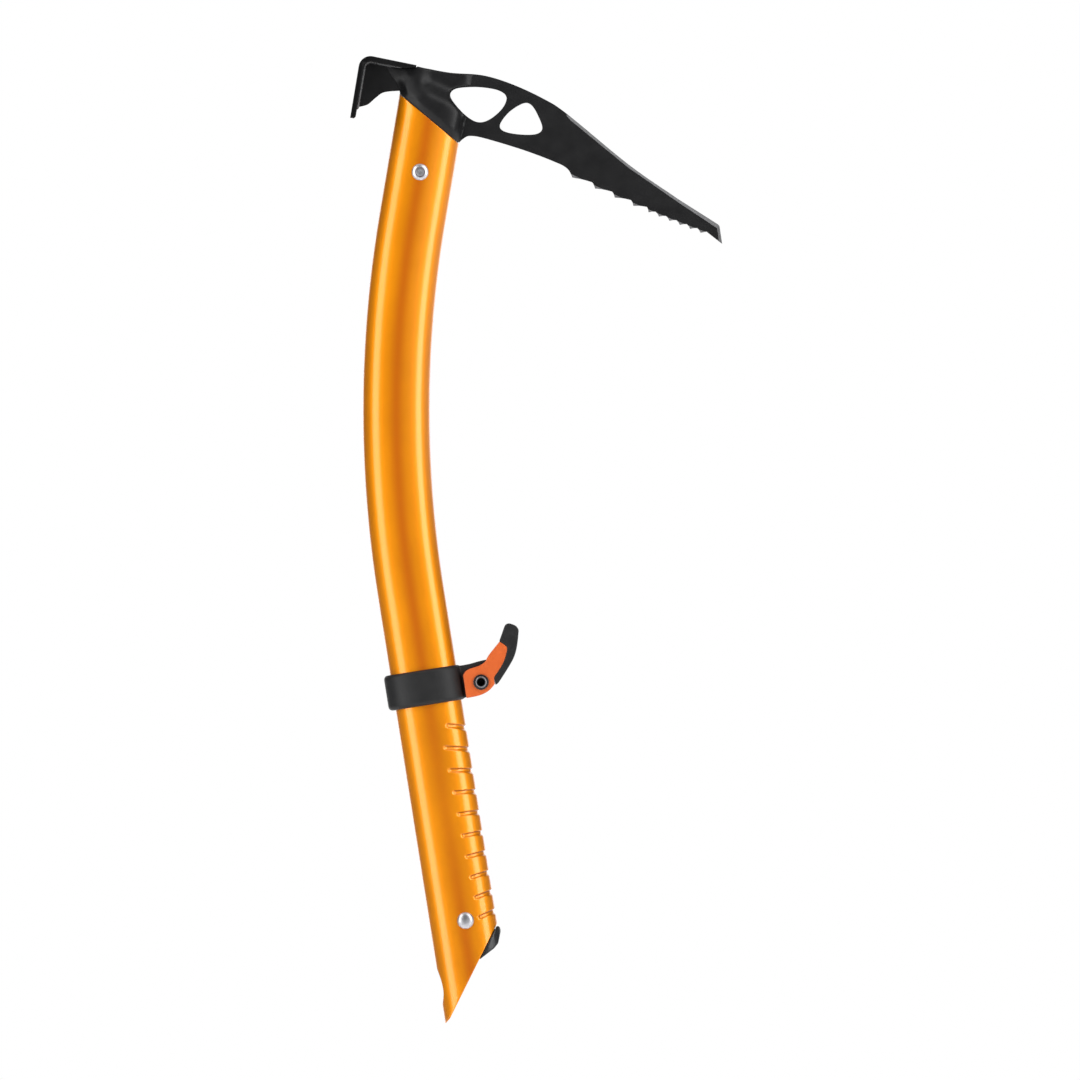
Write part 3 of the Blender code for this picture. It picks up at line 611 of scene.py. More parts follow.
def mouth_length(across):
    """Length at which the slanted mouth meets a line along the tube."""
    x, z, tilt = shaft_point(BEND_END)
    start = Vector((x + across * math.cos(tilt), z - across * math.sin(tilt)))
    direction = Vector((math.sin(tilt), math.cos(tilt)))
    return BEND_END + (MOUTH_BACK - start).dot(MOUTH_UP) / direction.dot(MOUTH_UP)


def groove(x, z):
    """Depth of the cross grooves at a point, and how near it is to a groove's crisp upper edge."""
    upper_run, lower_run, start_run = 0.35, 1.0, 1.6  # widths of the slopes at its edges and start
    most_widening = 1.1  # how much lower the lower edge lies at the front
    edge_depth, edge_reach = 0.3, 0.55  # the painted shadow line under the upper edge, and how far it spreads
    depth = 0.0
    edge = 0.0
    for k in range(GROOVE_COUNT):
        slant = math.radians(GROOVE_SLANT + GROOVE_SLANT_STEP * k)
        height = GROOVE_TOP - GROOVE_PITCH * k + GROOVE_PITCH_LOSS * k * k
        start = (FIRST_GROOVE_START if k == 0 else GROOVE_START + GROOVE_START_STEP * k) - GROOVE_MIDDLE
        along = (x - GROOVE_MIDDLE) * math.cos(slant) + (z - height) * math.sin(slant)
        above = (z - height) * math.cos(slant) - (x - GROOVE_MIDDLE) * math.sin(slant)
        widening = most_widening * smoothstep((along - 2.0) / 5.0)
        upper = smoothstep((GROOVE_WIDTH / 2 - above) / upper_run)
        lower = smoothstep((above + GROOVE_WIDTH / 2 + widening) / (lower_run + 0.6 * widening))
        begun = smoothstep((along - start) / start_run)
        depth = max(depth, GROOVE_DEPTH * upper * lower * begun)
        edge = max(edge, begun * max(0.0, 1 - abs(above - GROOVE_WIDTH / 2 + edge_depth) / edge_reach))
    return depth, edge


def across_shaft(x, z):
    """Distance in front of the shaft's centre line."""
    if z <= BEND_START:
        return x
    angle = math.atan2(z - BEND_START, BEND_RADIUS - x)
    if angle < BEND_ANGLE:
        return BEND_RADIUS - math.hypot(z - BEND_START, BEND_RADIUS - x)
    end_x, end_z, tilt = shaft_point(BEND_END)
    return (x - end_x) * math.cos(tilt) - (z - end_z) * math.sin(tilt)


def build_shaft():
    """Bent oval tube with rounded lips, grooves and leash hole."""
    sides = 160
    lip = 0.3
    lip_steps = 4
    to_square_ring = 1.2  # from a slanted end's furthest point to the first square ring
    tail_common = tail_length(SHAFT_RX) + to_square_ring
    mouth_common = mouth_length(SHAFT_RX) - to_square_ring
    fine_top = 47.0  # the grooves end below this height
    tail_rings, grooved_rings, plain_rings, bend_rings = 24, 400, 24, 90
    top_rings, mouth_rings, bore_rings, hole_sides = 8, 16, 60, 64
    hole_from, hole_to = -25.0, -8.0
    sharp = 50.0

    def add_ring(lengths, inset_by=0.0, grooved=False):
        """One ring round the tube; its lengths may differ across it."""
        points = []
        for i in range(sides):
            (across, deep), normal = oval_point(i / sides, inset_by)
            length = lengths(across)
            if grooved and across > 0 and length < fine_top:
                push = groove(across, length)[0]
                across -= normal.x * push
                deep -= normal.y * push
            x, z, tilt = shaft_point(length)
            points.append((x + across * math.cos(tilt), deep, z - across * math.sin(tilt)))
        rings.append(points)

    def add_blend(start, end, count, inset_by=0.0, grooved=False):
        """Rings that turn from one slant into another, without the first."""
        for k in range(1, count + 1):
            t = k / count
            add_ring(lambda a: start(a) * (1 - t) + end(a) * t, inset_by, grooved)

    def between(first, last, count):
        """Even steps from the first length to the last, without the first."""
        return [first + (last - first) * k / count for k in range(1, count + 1)]

    rings = []
    for rise, inward in reversed(rounding(lip, lip_steps)):
        add_ring(lambda a: tail_length(a) + rise, inward)
    add_blend(lambda a: tail_length(a) + lip, lambda a: tail_common, tail_rings, grooved=True)
    steps = between(tail_common, fine_top, grooved_rings) + between(fine_top, BEND_START, plain_rings)
    steps += between(BEND_START, BEND_END, bend_rings) + between(BEND_END, mouth_common, top_rings)
    for step in steps:
        add_ring(lambda a: step, grooved=True)
    add_blend(lambda a: mouth_common, lambda a: mouth_length(a) - lip, mouth_rings)
    for fall, inward in rounding(lip, lip_steps)[1:]:
        add_ring(lambda a: mouth_length(a) - fall, inward)
    add_ring(mouth_length, WALL)
    add_blend(mouth_length, tail_length, bore_rings, WALL)
    shaft = rings_mesh("shaft_tube", rings, closed=True, sharp=sharp)

    outline = []
    for i in range(hole_sides):
        angle = ROUND * i / hole_sides
        reach = LEASH_HOLE_UP if math.sin(angle) > 0 else LEASH_HOLE_DOWN
        outline.append((LEASH_HOLE_HALF_WIDTH * math.cos(angle), LEASH_HOLE_Z + reach * math.sin(angle)))
    hole = rings_mesh("leash_hole", [[(x, y, z) for y, z in outline] for x in (hole_from, hole_to)])
    cut(shaft, hole)
    shaft.data.set_sharp_from_angle(angle=math.radians(sharp))
    flat_half = 0.30 * SHAFT_RX
    grip_fade = 85.0

    # Painted shade along the middle of each flat, weaker near GRIP_MIDDLE.
    def streak_shade(p):
        on_flat = smoothstep(1 - abs(across_shaft(p.x, p.z)) / flat_half)
        return on_flat * (0.5 + 0.5 * smoothstep(abs(p.z - GRIP_MIDDLE) / grip_fade))

    # Painted shadow under each groove's upper edge.
    def groove_shadow(p):
        return 0.8 * groove(p.x, p.z)[1] if p.x > 0 and p.z < fine_top else 0.0

    paint(shaft, "painted_dark_streak", streak_shade)
    paint(shaft, "groove_painted_shadow", groove_shadow)
    finish_piece(shaft, "anodised_shaft", "axe", "shaft")


# ---------------- head

def adze_path(depth, end_depth, steps=14):
    """Side view of the adze at a depth below its outer face: head end, taper, bend, cutting edge."""
    top = (ADZE_CORNER - ADZE_END).normalized()
    leg = (ADZE_EDGE - ADZE_CORNER).normalized()
    top_in = Vector((-top.y, top.x))
    leg_in = Vector((-leg.y, leg.x))
    inner_corner = ADZE_CORNER + (top_in + leg_in) / (1 + top_in.dot(leg_in)) * depth
    radius = ADZE_BEND - depth
    turn = top.angle(leg)
    centre = inner_corner - top * radius * math.tan(turn / 2) + top_in * radius
    first = math.atan2(-top_in.y, -top_in.x)
    bend = [centre + Vector((math.cos(first + turn * k / steps), math.sin(first + turn * k / steps))) * radius
            for k in range(steps + 1)]
    taper = [ADZE_END + top_in * end_depth, ADZE_END + top * ADZE_TAPER + top_in * depth]
    return taper + bend + [ADZE_EDGE + leg_in * depth]


def even_path(points, spacing):
    """Points at even steps along a path."""
    path = [points[0]]
    for a, b in zip(points, points[1:]):
        steps = max(1, round((b - a).length / spacing))
        path += [a.lerp(b, k / steps) for k in range(1, steps + 1)]
    return path


def left_of(path, k):
    """Direction to the left of a path at one of its points."""
    ahead = (path[min(k + 1, len(path) - 1)] - path[max(k - 1, 0)]).normalized()
    return Vector((-ahead.y, ahead.x))


def adze_weld():
    """A rippled bead on each side of the web, under the adze."""
    gap = 0.1
    under = even_path(adze_path(ADZE_THICKNESS + gap, ADZE_TAPER_END + gap), 0.22)
    path = [p for p in under if p.y > WEB_LOW - 1.0]
    beads = []
    for side in (-1, 1):
        rings = []
        for k, point in enumerate(path):
            inward = left_of(path, k)
            ends = min(k, len(path) - 1 - k)
            radius = (0.75 + 0.05 * math.sin(k * 1.1)) * min(1.0, math.sqrt((ends + 0.3) / 4))
            ring = []
            for a in [ROUND * i / 12 for i in range(12)]:
                x = point.x + inward.x * radius * math.cos(a)
                z = point.y + inward.y * radius * math.cos(a)
                ring.append((x, side * BLADE_HALF + radius * math.sin(a), z))
            rings.append(ring)
        beads.append(rings_mesh("weld", rings, sharp=60.0))
        paint(beads[-1], "bare", lambda p: 0.3)
    return beads


def build_adze():
    """Bent plate with rounded edges and a ground cutting edge, and the weld along the web."""
    over_head = 0.45  # how far the tapered end runs on over the head
    plan_corner = 1.2  # radius of the plate's corners, seen from outside
    taper_lift = 0.25  # the tapered end is this much thicker than the gap under it
    path = adze_path(0.0, 0.0)
    path[0] += (ADZE_END - ADZE_CORNER).normalized() * over_head
    outer = even_path(path, 0.8)
    lengths = [0.0]
    for a, b in zip(outer, outer[1:]):
        lengths.append(lengths[-1] + (b - a).length)
    total = lengths[-1]
    bend_length = (ADZE_CORNER - ADZE_END).length
    at_head, at_bend, at_edge = ADZE_HALF_WIDTHS
    round_edge = 0.55
    ground = 0.9
    rings = []
    for k, (point, length) in enumerate(zip(outer, lengths)):
        inward = left_of(outer, k)
        if length < bend_length:
            half = at_head + (at_bend - at_head) * smoothstep(length / bend_length)
        else:
            half = at_bend + (at_edge - at_bend) * (length - bend_length) / (total - bend_length)
        end = min(length, total - length)
        half -= plan_corner * (1 - math.sqrt(1 - max(0.0, 1 - end / plan_corner) ** 2))
        thick = ADZE_THICKNESS
        if total - length < ground:
            thick = ADZE_EDGE_THICKNESS + (ADZE_THICKNESS - ADZE_EDGE_THICKNESS) * (total - length) / ground
        elif length < ADZE_TAPER:
            thick = ADZE_TAPER_END + (ADZE_THICKNESS - ADZE_TAPER_END) * length / ADZE_TAPER
            thick += taper_lift
        edge = min(round_edge, thick / 2.2)
        ring = []
        for corner in range(4):
            side = 1 if corner in (0, 1) else -1
            deep = edge if corner in (0, 3) else thick - edge
            for s in range(5):
                angle = math.pi / 2 * (corner + s / 4)
                ring.append((side * (half - edge) + edge * math.sin(angle), deep - edge * math.cos(angle)))
        rings.append([(point.x + inward.x * d, y, point.y + inward.y * d) for y, d in ring])
    adze = rings_mesh("adze_blade", rings, sharp=50.0)
    # Painted shade darkens the adze's plate, whose sides catch little light.
    paint(adze, "adze_painted_shade", lambda p: 0.8)
    beads = adze_weld()
    with bpy.context.temp_override(active_object=adze, selected_editable_objects=[adze] + beads):
        bpy.ops.object.join()
    finish_piece(adze, "black_steel", "axe", "adze_plate")


def tooth_tip(distance):
    """Point on the slightly sagging line of tooth tips."""
    sag = TIP_SAG * 4 * distance * (TIP_LINE_LENGTH - distance) / TIP_LINE_LENGTH ** 2
    forward, up = distance * math.cos(TIP_LINE_ANGLE), distance * math.sin(TIP_LINE_ANGLE)
    return FIRST_TIP + Vector((forward, up - sag))


GROUND = bpy.data.materials.new("ground_marker")


def grind(blade, path, widths, drop):
    """Ground bevel on both sides of the blade; path runs along its edge with the steel on the left."""
    outside = 2.0  # how far the tool reaches past the edge and past the blade's face
    top = BLADE_HALF + outside
    slope = drop / max(widths)
    for side in (-1, 1):
        rings = []
        for k, (point, width) in enumerate(zip(path, widths)):
            inward = left_of(path, k)
            section = [(width + 1.0, BLADE_HALF + slope), (-outside, BLADE_HALF - slope * (width + outside)),
                       (-outside, top), (width + 1.0, top)]
            rings.append([(point.x + inward.x * t, side * y, point.y + inward.y * t) for t, y in section])
        tool = rings_mesh("grinder", rings, sharp=10.0)
        tool.data.materials.append(GROUND)
        cut(blade, tool)


def build_blade():
    """Blade with ground edges on its spine, teeth and nose."""
    bevel = 1.25
    tooth_drop = 0.8
    below = 288.5  # height, over the first tip, under which a bevel belongs to the teeth
    loops = node_loops("pick_blade", BLADE_HALF)
    blade = plate("pick_blade_body", loops, BLADE_HALF, 0.18, spacing=0.6)
    blade.data.materials.append(FINISHES["black_steel"])
    spine = even_path(SPINE, 1.5)
    widths = [bevel * smoothstep(k / 6 + 0.6) for k in range(len(spine))][::-1]
    grind(blade, spine, widths, bevel)
    tips = [tooth_tip(TIP_LINE_LENGTH * k / 40) for k in range(-2, 43)]
    grind(blade, tips, [bevel] * len(tips), tooth_drop)
    grind(blade, NOSE, [1.3] * len(NOSE), 1.0)
    mesh = blade.data
    ground = [i for i, m in enumerate(mesh.materials) if m is GROUND]
    bare = mesh.attributes.new("bare", "FLOAT", "CORNER")
    for polygon in mesh.polygons:
        if polygon.material_index not in ground:
            continue
        polygon.use_smooth = False
        centre = polygon.center / MM
        share = 0.4 if centre.z < below - (centre.x - FIRST_TIP.x) * 0.63 else 0.75
        for i in polygon.loop_indices:
            bare.data[i].value = share
    mesh.materials.clear()
    finish_piece(blade, "black_steel", "axe", "pick_blade")


def side_distance(point, start, end):
    """Distance forward of a side line, counted along the mouth."""
    line = (end - start).normalized()
    return (point - start).cross(line) / MOUTH_ALONG.cross(line)


def line_distance(point, start, end):
    """Distance from a stretch of a straight line."""
    share = min(1.0, max(0.0, (point - start).dot(end - start) / (end - start).length_squared))
    return (point - start.lerp(end, share)).length


CREASES = [(Vector((66.0, 341.0)), Vector((64.6, 333.4))), (Vector((60.3, 320.9)), Vector((55.3, 309.6)))]
CREASE_REACH = 4.5


def cheek_height(point, back_edge):
    """Half thickness of the head: a bar beside the mouth, from the adze's corner to the front.

    Its lower flank carries the shaft's oval at the mouth, and its upper flank falls to the blade.
    """
    across = (point - MOUTH_BACK).dot(MOUTH_ALONG)
    above = max(0.0, (point - MOUTH_BACK).dot(MOUTH_UP))
    centred = min(1.0, abs(2 * across / MOUTH_RUN - 1))
    section = (1 - centred ** OVAL_POWER) ** (1 / OVAL_POWER)
    oval = CHEEK_BACK_EDGE + (SHAFT_RY - CHEEK_BACK_EDGE) * section
    flank = min(line_distance(point, a, b) for a, b in zip(back_edge, back_edge[1:]))
    front = max(0.0, -side_distance(point, *CHEEK_FRONT))
    nose = (1 - max(0.0, 1 - front / BAR_NOSE) ** OVAL_POWER) ** (1 / OVAL_POWER)
    bar = BAR_LOW + (BAR_HIGH - BAR_LOW) * smoothstep((across + 7.0) / 18.0)
    rear = smoothstep((8.0 - across) / 10.0)
    brow = 9.0 + 0.25 * across + 5.5 * rear  # height above the mouth of the upper flank's middle
    drop = 1 / (1 + math.exp((above - brow) / (1.75 + 2.2 * rear)))
    flank_width = 3.6 + 3.4 * rear * smoothstep((above - 3.5) / 6.0)
    edge = CHEEK_BACK_EDGE + (CHEEK_EDGE - CHEEK_BACK_EDGE) * smoothstep((across + 6.0) / 14.0)
    height = edge + (bar - edge) * smoothstep(flank / flank_width) * drop * nose
    if above < COLLAR:
        height = oval + (height - oval) * above / COLLAR
    floor = BLADE_HALF + 0.05
    for start, end in CREASES:
        near = min(1.0, line_distance(point, start, end) / CREASE_REACH)
        height = floor + (height - floor) * (1 - (1 - near) ** 2)
    return height


def build_cheek(name, side):
    """Fine height field over the CAD cheek's outline, with a rounded rim."""
    mouth_gap = 0.03  # between the cheek and the tube's end
    lip = 0.7  # how much wider than the mouth the cheek is
    sunk = 0.15  # how far its flat side reaches into the blade
    back_top = 348.0  # the back edge ends below this height
    drops = [(0.0, 0.45), (0.13, 0.18), (0.42, 0.0)]  # rounded rim: distance inward, and fall
    spacing = 0.75
    low, high = node_box(name)
    outline = node_loops(name, side * min(abs(low.y), abs(high.y)))[0]
    for p in outline:
        rise = (p - MOUTH_BACK).dot(MOUTH_UP)
        if rise < 0.6:
            p -= MOUTH_UP * (rise - mouth_gap)
            p += MOUTH_ALONG * lip * ((p - MOUTH_BACK).dot(MOUTH_ALONG) / MOUTH_RUN - 0.5)

    def is_back(p):
        away = min(line_distance(p, a, b) for a, b in zip(CHEEK_BACK, CHEEK_BACK[1:]))
        return away < 1.5 and p.y < back_top

    back_edge = sorted(filter(is_back, outline), key=lambda p: p.y)
    back_edge.append(back_edge[-1] * 2 - back_edge[-2])
    rim = refined(outline, 0.6)
    shares = [0.10 + 0.84 * i / 50 for i in range(51)]
    collar = [MOUTH_BACK.lerp(MOUTH_FRONT, t) + MOUTH_UP * COLLAR for t in shares]
    loops = [inset(rim, amount) for amount, _ in drops]
    ring_points = [p for loop in loops for p in loop]
    blocked = {}
    for p in ring_points + collar:
        blocked.setdefault((round(p.x / spacing), round(p.y / spacing)), []).append(p)

    def is_clear(point):
        i, j = round(point.x / spacing), round(point.y / spacing)
        near = [p for a in (-1, 0, 1) for b in (-1, 0, 1) for p in blocked.get((i + a, j + b), [])]
        return all((p - point).length > 0.6 * spacing for p in near)

    grid = []
    rows = int((high.z - low.z) / spacing)
    columns = int((high.x - low.x) / spacing)
    for row in range(rows + 1):
        for column in range(columns + 1):
            shift = 0.5 * (row % 2)
            point = Vector((low.x + spacing * (column + shift), low.z + spacing * row))
            if is_clear(point):
                grid.append(point)
    where, faces = filled(loops[:1], grid + loops[1] + loops[2], [collar])
    used = sorted({i for face in faces for i in face})
    count = len(rim)
    drop_at = {(round(p.x, 3), round(p.y, 3)): drop for loop, (_, drop) in zip(loops, drops) for p in loop}
    points = []
    for p in (where[i] for i in used):
        height = cheek_height(p, back_edge)
        drop = drop_at.get((round(p.x, 3), round(p.y, 3)), 0.0)
        height -= min(drop, drop * (height - BLADE_HALF))
        points.append((p.x, side * height, p.y))
    index = {i: n for n, i in enumerate(used)}
    solid = [tuple(index[i] for i in face) for face in faces]
    base = [len(points) + i for i in range(count)]
    points += [(p.x, side * (BLADE_HALF - sunk), p.y) for p in where[:count]]
    for i in range(count):
        j = (i + 1) % count
        solid.append((index[i], index[j], base[j], base[i]))
    _, under = filled([rim])
    solid += [tuple(base[i] for i in face) for face in under]
    cheek = make_mesh(name + "_flare", points, solid, sharp=40.0)
    finish_piece(cheek, "black_steel", "axe", name)


# ---------------- rivets and tail

def dome(radius, height, base, last=0.0, steps=14):
    """Profile of a domed head from its rim up to the radius last."""
    stop = math.acos(last / radius)
    angles = [stop * k / steps for k in range(steps + 1)]
    return [(radius * math.cos(a), base + height * math.sin(a)) for a in angles]


def mirrored(profile):
    """A profile and its mirror image on the axe's other side."""
    return profile + [(r, -y) for r, y in reversed(profile)]


def distance_from(p, axis):
    """Distance in the side view from an axis along Y."""
    return math.hypot(p.x - axis[0], p.z - axis[1])


def build_rivets():
    """Blind rivet with its stem in a crater, and the plain domed rivet at the tail."""
    base = SHAFT_RY - RIVET_SINK
    head_height, tail_height = 1.7, 2.0
    crater_radius = 2.5
    stem_depth = 0.30  # the stem's end lies this far down in the crater
    top = dome(RIVET_HEAD, head_height, base, crater_radius)
    rim = top[-1][1]
    crater = [(2.38, rim - 0.04), (2.22, rim - 0.30), (2.12, rim - 0.8)]
    sleeve = turned("head_rivet_dome", mirrored([(RIVET_SHANK, base)] + top + crater), HEAD_RIVET)
    finish_piece(sleeve, "rivet_steel", "axe", "head_rivet_sleeve")
    end = rim - stem_depth
    stem = [(0, end - 0.45), (0.6, end - 0.4), (0.9, end - 0.08), (1.35, end), (1.8, end - 0.1),
            (2.02, end - 0.35)]
    pin = turned("head_rivet_stem", mirrored(stem), HEAD_RIVET)
    # The stem is made a little darker.
    paint(pin, "painted_shade_and_tone", lambda p: 0.15)
    finish_piece(pin, "rivet_steel", "axe", "head_rivet_pin")
    profile = [(RIVET_SHANK, base)] + dome(RIVET_HEAD, tail_height, base)
    tail = turned("tail_rivet_dome", mirrored(profile), TAIL_RIVET)
    # Darker towards the dome's middle.
    paint(tail, "painted_shade_and_tone", lambda p: 0.2 * smoothstep(1.4 - distance_from(p, TAIL_RIVET) / 2.2))
    finish_piece(tail, "rivet_steel", "axe", "tail_rivet")


def build_plug():
    """The CAD plug with every edge rounded."""
    source = frame["nodes"]["tail_plug"].data
    plug = added("tail_plug_moulding", source.copy())
    plug.data.materials.clear()
    weld = plug.modifiers.new("weld", "WELD")
    weld.merge_threshold = 0.01 * MM
    soften(plug, voxel=0.35, rounds=8)
    finish_piece(plug, "plug_plastic", "axe", "tail_plug")


# ---------------- hand rest

def arc(centre, radius, start, end, steps):
    """Points from one angle to another, both included."""
    angles = [start + (end - start) * k / steps for k in range(steps + 1)]
    return [Vector((centre[0] + radius * math.cos(a), centre[1] + radius * math.sin(a))) for a in angles]


def prism(name, outline, low, high):
    """An outline in the side view pushed through from one Y to another."""
    return rings_mesh(name, [[(p[0], y, p[1]) for p in outline] for y in (low, high)])


def build_band():
    """Loop round the shaft with its lug, bored for the shaft and for the pin's bush."""
    centre = (BAND_LOW.x + BAND_FRONT) / 2
    rx = (BAND_FRONT - BAND_LOW.x) / 2
    corner = 1.9
    sides = 128
    shaft_gap = 0.12
    lug_nose = 5.2
    lug_bore = 3.1
    past = 10  # how far the shaft's bore runs past the band
    rings = []
    profile = rounding(corner, 6)
    levels = [(i, BAND_LOW.z + rise) for i, rise in profile]
    levels += [(i, BAND_TOP - fall) for i, fall in reversed(profile)]
    for inset_by, z in levels:
        ring = [oval_point(i / sides, inset_by, rx, BAND_HIGH.y)[0] for i in range(sides)]
        rings.append([(centre + p.x, p.y, z) for p in ring])
    band = rings_mesh("rest_band_loop", rings)
    nose = arc(PIVOT, lug_nose, 0.0, -math.pi / 2, 16)
    top = [(12.0, 69.3), (17.5, 69.3), (21.7, 69.4), (26.5, 70.0), (30.0, 70.2), (30.6, 67.0)]
    cut(band, prism("lug", nose + [(18.0, 54.3), (12.0, 54.3)] + top, -LUG_HALF, LUG_HALF), "UNION")
    bore = []
    for z in (BAND_LOW.z - past, BAND_TOP + past):
        ring = [oval_point(i / sides, -shaft_gap)[0] for i in range(sides)]
        bore.append([(p.x, p.y, z) for p in ring])
    cut(band, rings_mesh("bore", bore))
    cut(band, prism("pin_hole", arc(PIVOT, lug_bore, 0, ROUND, 48)[:-1], -20, 20))
    soften(band, voxel=0.36, rounds=7)
    finish_piece(band, "band_rubber", "hand_rest", "rest_band")


def build_pin():
    """Hollow rivet through lever and lug, and a dark washer under each of its rolled ends."""
    rise = PIN_TOP - WASHER_TOP
    rolled_end = [(PIN_RADIUS, WASHER_TOP), (2.8, WASHER_TOP), (2.8, WASHER_TOP + 0.35 * rise),
                  (2.68, WASHER_TOP + 0.62 * rise), (2.4, WASHER_TOP + 0.9 * rise), (2.1, PIN_TOP)]
    hollow = [(1.85, PIN_TOP - 0.06), (1.66, PIN_TOP - 0.28), (1.55, PIN_TOP - 0.7), (1.5, PIN_TOP - 7.0),
              (0, PIN_TOP - 7.4)]
    pin = turned("trigger_pin_rivet", mirrored(rolled_end + hollow), PIVOT)
    # Painted shade in the pin's hollow; a darker tone on its rolled ends.
    paint(pin, "painted_shade_and_tone", lambda p: 1.0 if distance_from(p, PIVOT) < PIN_RADIUS + 0.05 else 0.6)
    finish_piece(pin, "rivet_steel", "hand_rest", "trigger_pin")
    base = LEVER_HALF + WASHER_GAP
    section = [(WASHER_RADIUS, base), (WASHER_RADIUS, WASHER_TOP - 0.22), (3.52, WASHER_TOP - 0.07),
               (3.38, WASHER_TOP), (WASHER_BORE, WASHER_TOP), (WASHER_BORE, base)]
    for name, side in (("pin_washer_right", -1), ("pin_washer_left", 1)):
        washer = turned(name + "_ring", [(r, side * y) for r, y in section], PIVOT)
        finish_piece(washer, "washer_steel", "hand_rest", name)


def build_trigger():
    """Forked lever and its pad. Softening shrinks both, so their outlines are grown first.

    Behind the pin the lever isn't grown, because it swings close to the band there.
    """
    lever_growth, pad_growth = 0.35, 0.5
    chamfer = 0.15
    outline, *holes = node_loops("trigger_lever", LEVER_HALF)
    pairs = zip(outline, inset(outline, -lever_growth))
    grown = [p.lerp(q, smoothstep((p.x - PIVOT[0]) / 6.0)) for p, q in pairs]
    lever = plate("trigger_hook", [grown] + holes, LEVER_HALF, chamfer, steps=1, spacing=0.6)
    slot_half = LUG_HALF + SLOT_GAP
    cut(lever, prism("slot", arc(PIVOT, SLOT_RADIUS, 0, ROUND, 96)[:-1], -slot_half, slot_half))
    soften(lever, voxel=0.3, rounds=7)
    finish_piece(lever, "trigger_plastic", "trigger", "trigger_lever")
    loops = [inset(loop, -pad_growth) for loop in node_loops("trigger_pad", PAD_HALF)]
    pad = plate("trigger_grip_pad", loops, PAD_HALF, chamfer, steps=1, spacing=0.6)
    soften(pad, voxel=0.28, rounds=9)
    finish_piece(pad, "pad_rubber", "trigger", "trigger_pad")


def finish_cad_nodes():
    """New materials on the CAD nodes that stay."""
    for name, slot in (("lug_bush", "bush_bronze"), ("tang_spacer_right", "spacer_plastic"),
                       ("tang_spacer_left", "spacer_plastic")):
        for material_slot in frame["nodes"][name].material_slots:
            material_slot.material = FINISHES[slot]


# ---------------- studio

def softbox(name, place, target, width, height, radiance):
    """Rectangular light with a given radiance, facing the target."""
    light = bpy.data.lights.new(name, "AREA")
    light.shape = "RECTANGLE"
    light.size = width
    light.size_y = height
    light.energy = radiance * math.pi * width * height
    lamp = added(name, light)
    lamp.location = place
    lamp.rotation_euler = (target - place).to_track_quat("-Z", "Y").to_euler()
    lamp.visible_camera = False


FLOOR_DROP = 0.45  # the axe is held up, clear of the floor
FLOOR_REACH = 12.0
STRIP_DISTANCE = 1.3
UP = Vector((0.0, 0.0, 1.0))
STRIPS = {  # azimuth, width and radiance; 0 degrees is the camera's side
    "strip_left": (-48, 0.55, 4.1),
    "strip_right": (50, 0.55, 5.1),
    "back_left": (-160, 0.5, 1.4),
    "back_right": (160, 0.5, 1.4),
}


def build_lights():
    """Upright strips round the axe, softboxes above it, and a wash under it that only the floor sees."""
    low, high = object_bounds()
    centre = (low + high) / 2
    for name, (azimuth, width, radiance) in STRIPS.items():
        angle = math.radians(azimuth)
        place = centre + Vector((math.sin(angle), -math.cos(angle), 0.0)) * STRIP_DISTANCE
        softbox(name, place + UP * 0.1, centre + UP * 0.1, width, 1.0, radiance)
    for name, across in (("upper_left", -0.75), ("upper_right", 0.75)):
        softbox(name, centre + Vector((across, -0.65, 0.85)), centre, 0.6, 0.6, 4.5)
    wash = Vector((centre.x, centre.y, low.z - 0.1))
    softbox("floor_wash", wash, wash - UP, 2 * FLOOR_REACH, 2 * FLOOR_REACH, 0.64)
    softbox("overhead", centre + UP * 2.5, centre, 2.4, 2.4, 1.0)


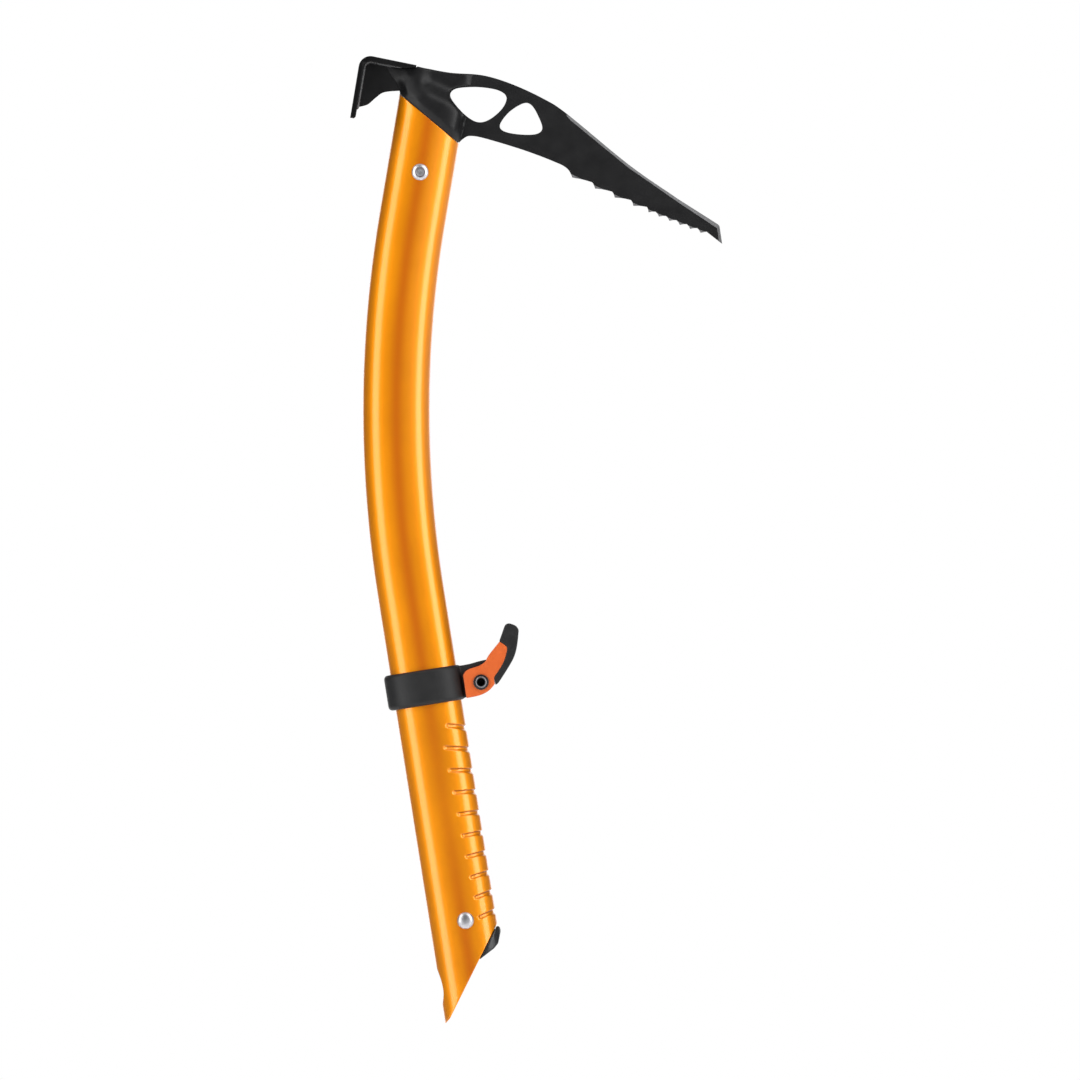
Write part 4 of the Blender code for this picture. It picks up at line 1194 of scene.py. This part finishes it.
def build_floor():
    """Pale floor under the axe, as staging."""
    floor = bpy.data.meshes.new("floor")
    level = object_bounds()[0].z - FLOOR_DROP
    corners = [(-1, -1), (1, -1), (1, 1), (-1, 1)]
    floor.from_pydata([(x * FLOOR_REACH, y * FLOOR_REACH, level) for x, y in corners], [], [(0, 1, 2, 3)])
    made, *_ = surface("pale_floor", (0.85, 0.85, 0.85), (0.88, 0.88, 0.88), (0.7, 0.8), patch=3.0,
                       grain=400.0, bump=0.05)
    floor.materials.append(made)
    ground = added("floor", floor)


def build_world():
    """Soft fill, dimmer in reflections, and a white backdrop."""
    world = bpy.data.worlds.new("studio")
    world.use_nodes = True
    tree = world.node_tree
    fill = tree.nodes["Background"]
    fill.inputs["Color"].default_value = (0.11, 0.11, 0.11, 1.0)
    dark = node(tree, "Background", {"Color": (0.10, 0.10, 0.10, 1.0)})
    white = node(tree, "Background", {"Color": (1.0, 1.0, 1.0, 1.0)})
    rays = node(tree, "LightPath").outputs
    seen = node(tree, "MixShader", {0: rays["Is Glossy Ray"], 1: fill.outputs[0], 2: dark.outputs[0]})
    shown = node(tree, "MixShader", {0: rays["Is Camera Ray"], 1: seen.outputs[0], 2: white.outputs[0]})
    tree.links.new(shown.outputs[0], tree.nodes["World Output"].inputs["Surface"])
    bpy.context.scene.world = world
    bpy.context.scene.view_settings.view_transform = "Standard"
    bpy.context.scene.view_settings.look = "None"


def build_camera():
    """Square-on view of the right side, rolled so that the axe leans forward."""
    low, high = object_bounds()
    roll = math.radians(9.0)
    view_width = 0.5022
    aside, down = 0.01175, 0.0098  # from the middle of the box to the middle of the view
    right = Vector((math.cos(roll), 0.0, -math.sin(roll)))
    up = Vector((math.sin(roll), 0.0, math.cos(roll)))
    target = Vector(((low.x + high.x) / 2 - aside, 0.0, (low.z + high.z) / 2 - down))
    data = bpy.data.cameras.new("camera")
    data.type = "ORTHO"
    data.ortho_scale = view_width
    data.clip_end = 20.0
    camera = added("camera", data)
    back = Vector((0.0, -1.0, 0.0))
    place = target + back * 1.5
    camera.matrix_world = Matrix.Translation(place) @ Matrix((right, up, back)).transposed().to_4x4()
    bpy.context.scene.camera = camera


build_shaft()
build_blade()
build_cheek("head_cheek_right", -1)
build_cheek("head_cheek_left", 1)
build_adze()
build_rivets()
build_plug()
build_band()
build_pin()
build_trigger()
finish_cad_nodes()
build_camera()
build_lights()
build_floor()
build_world()
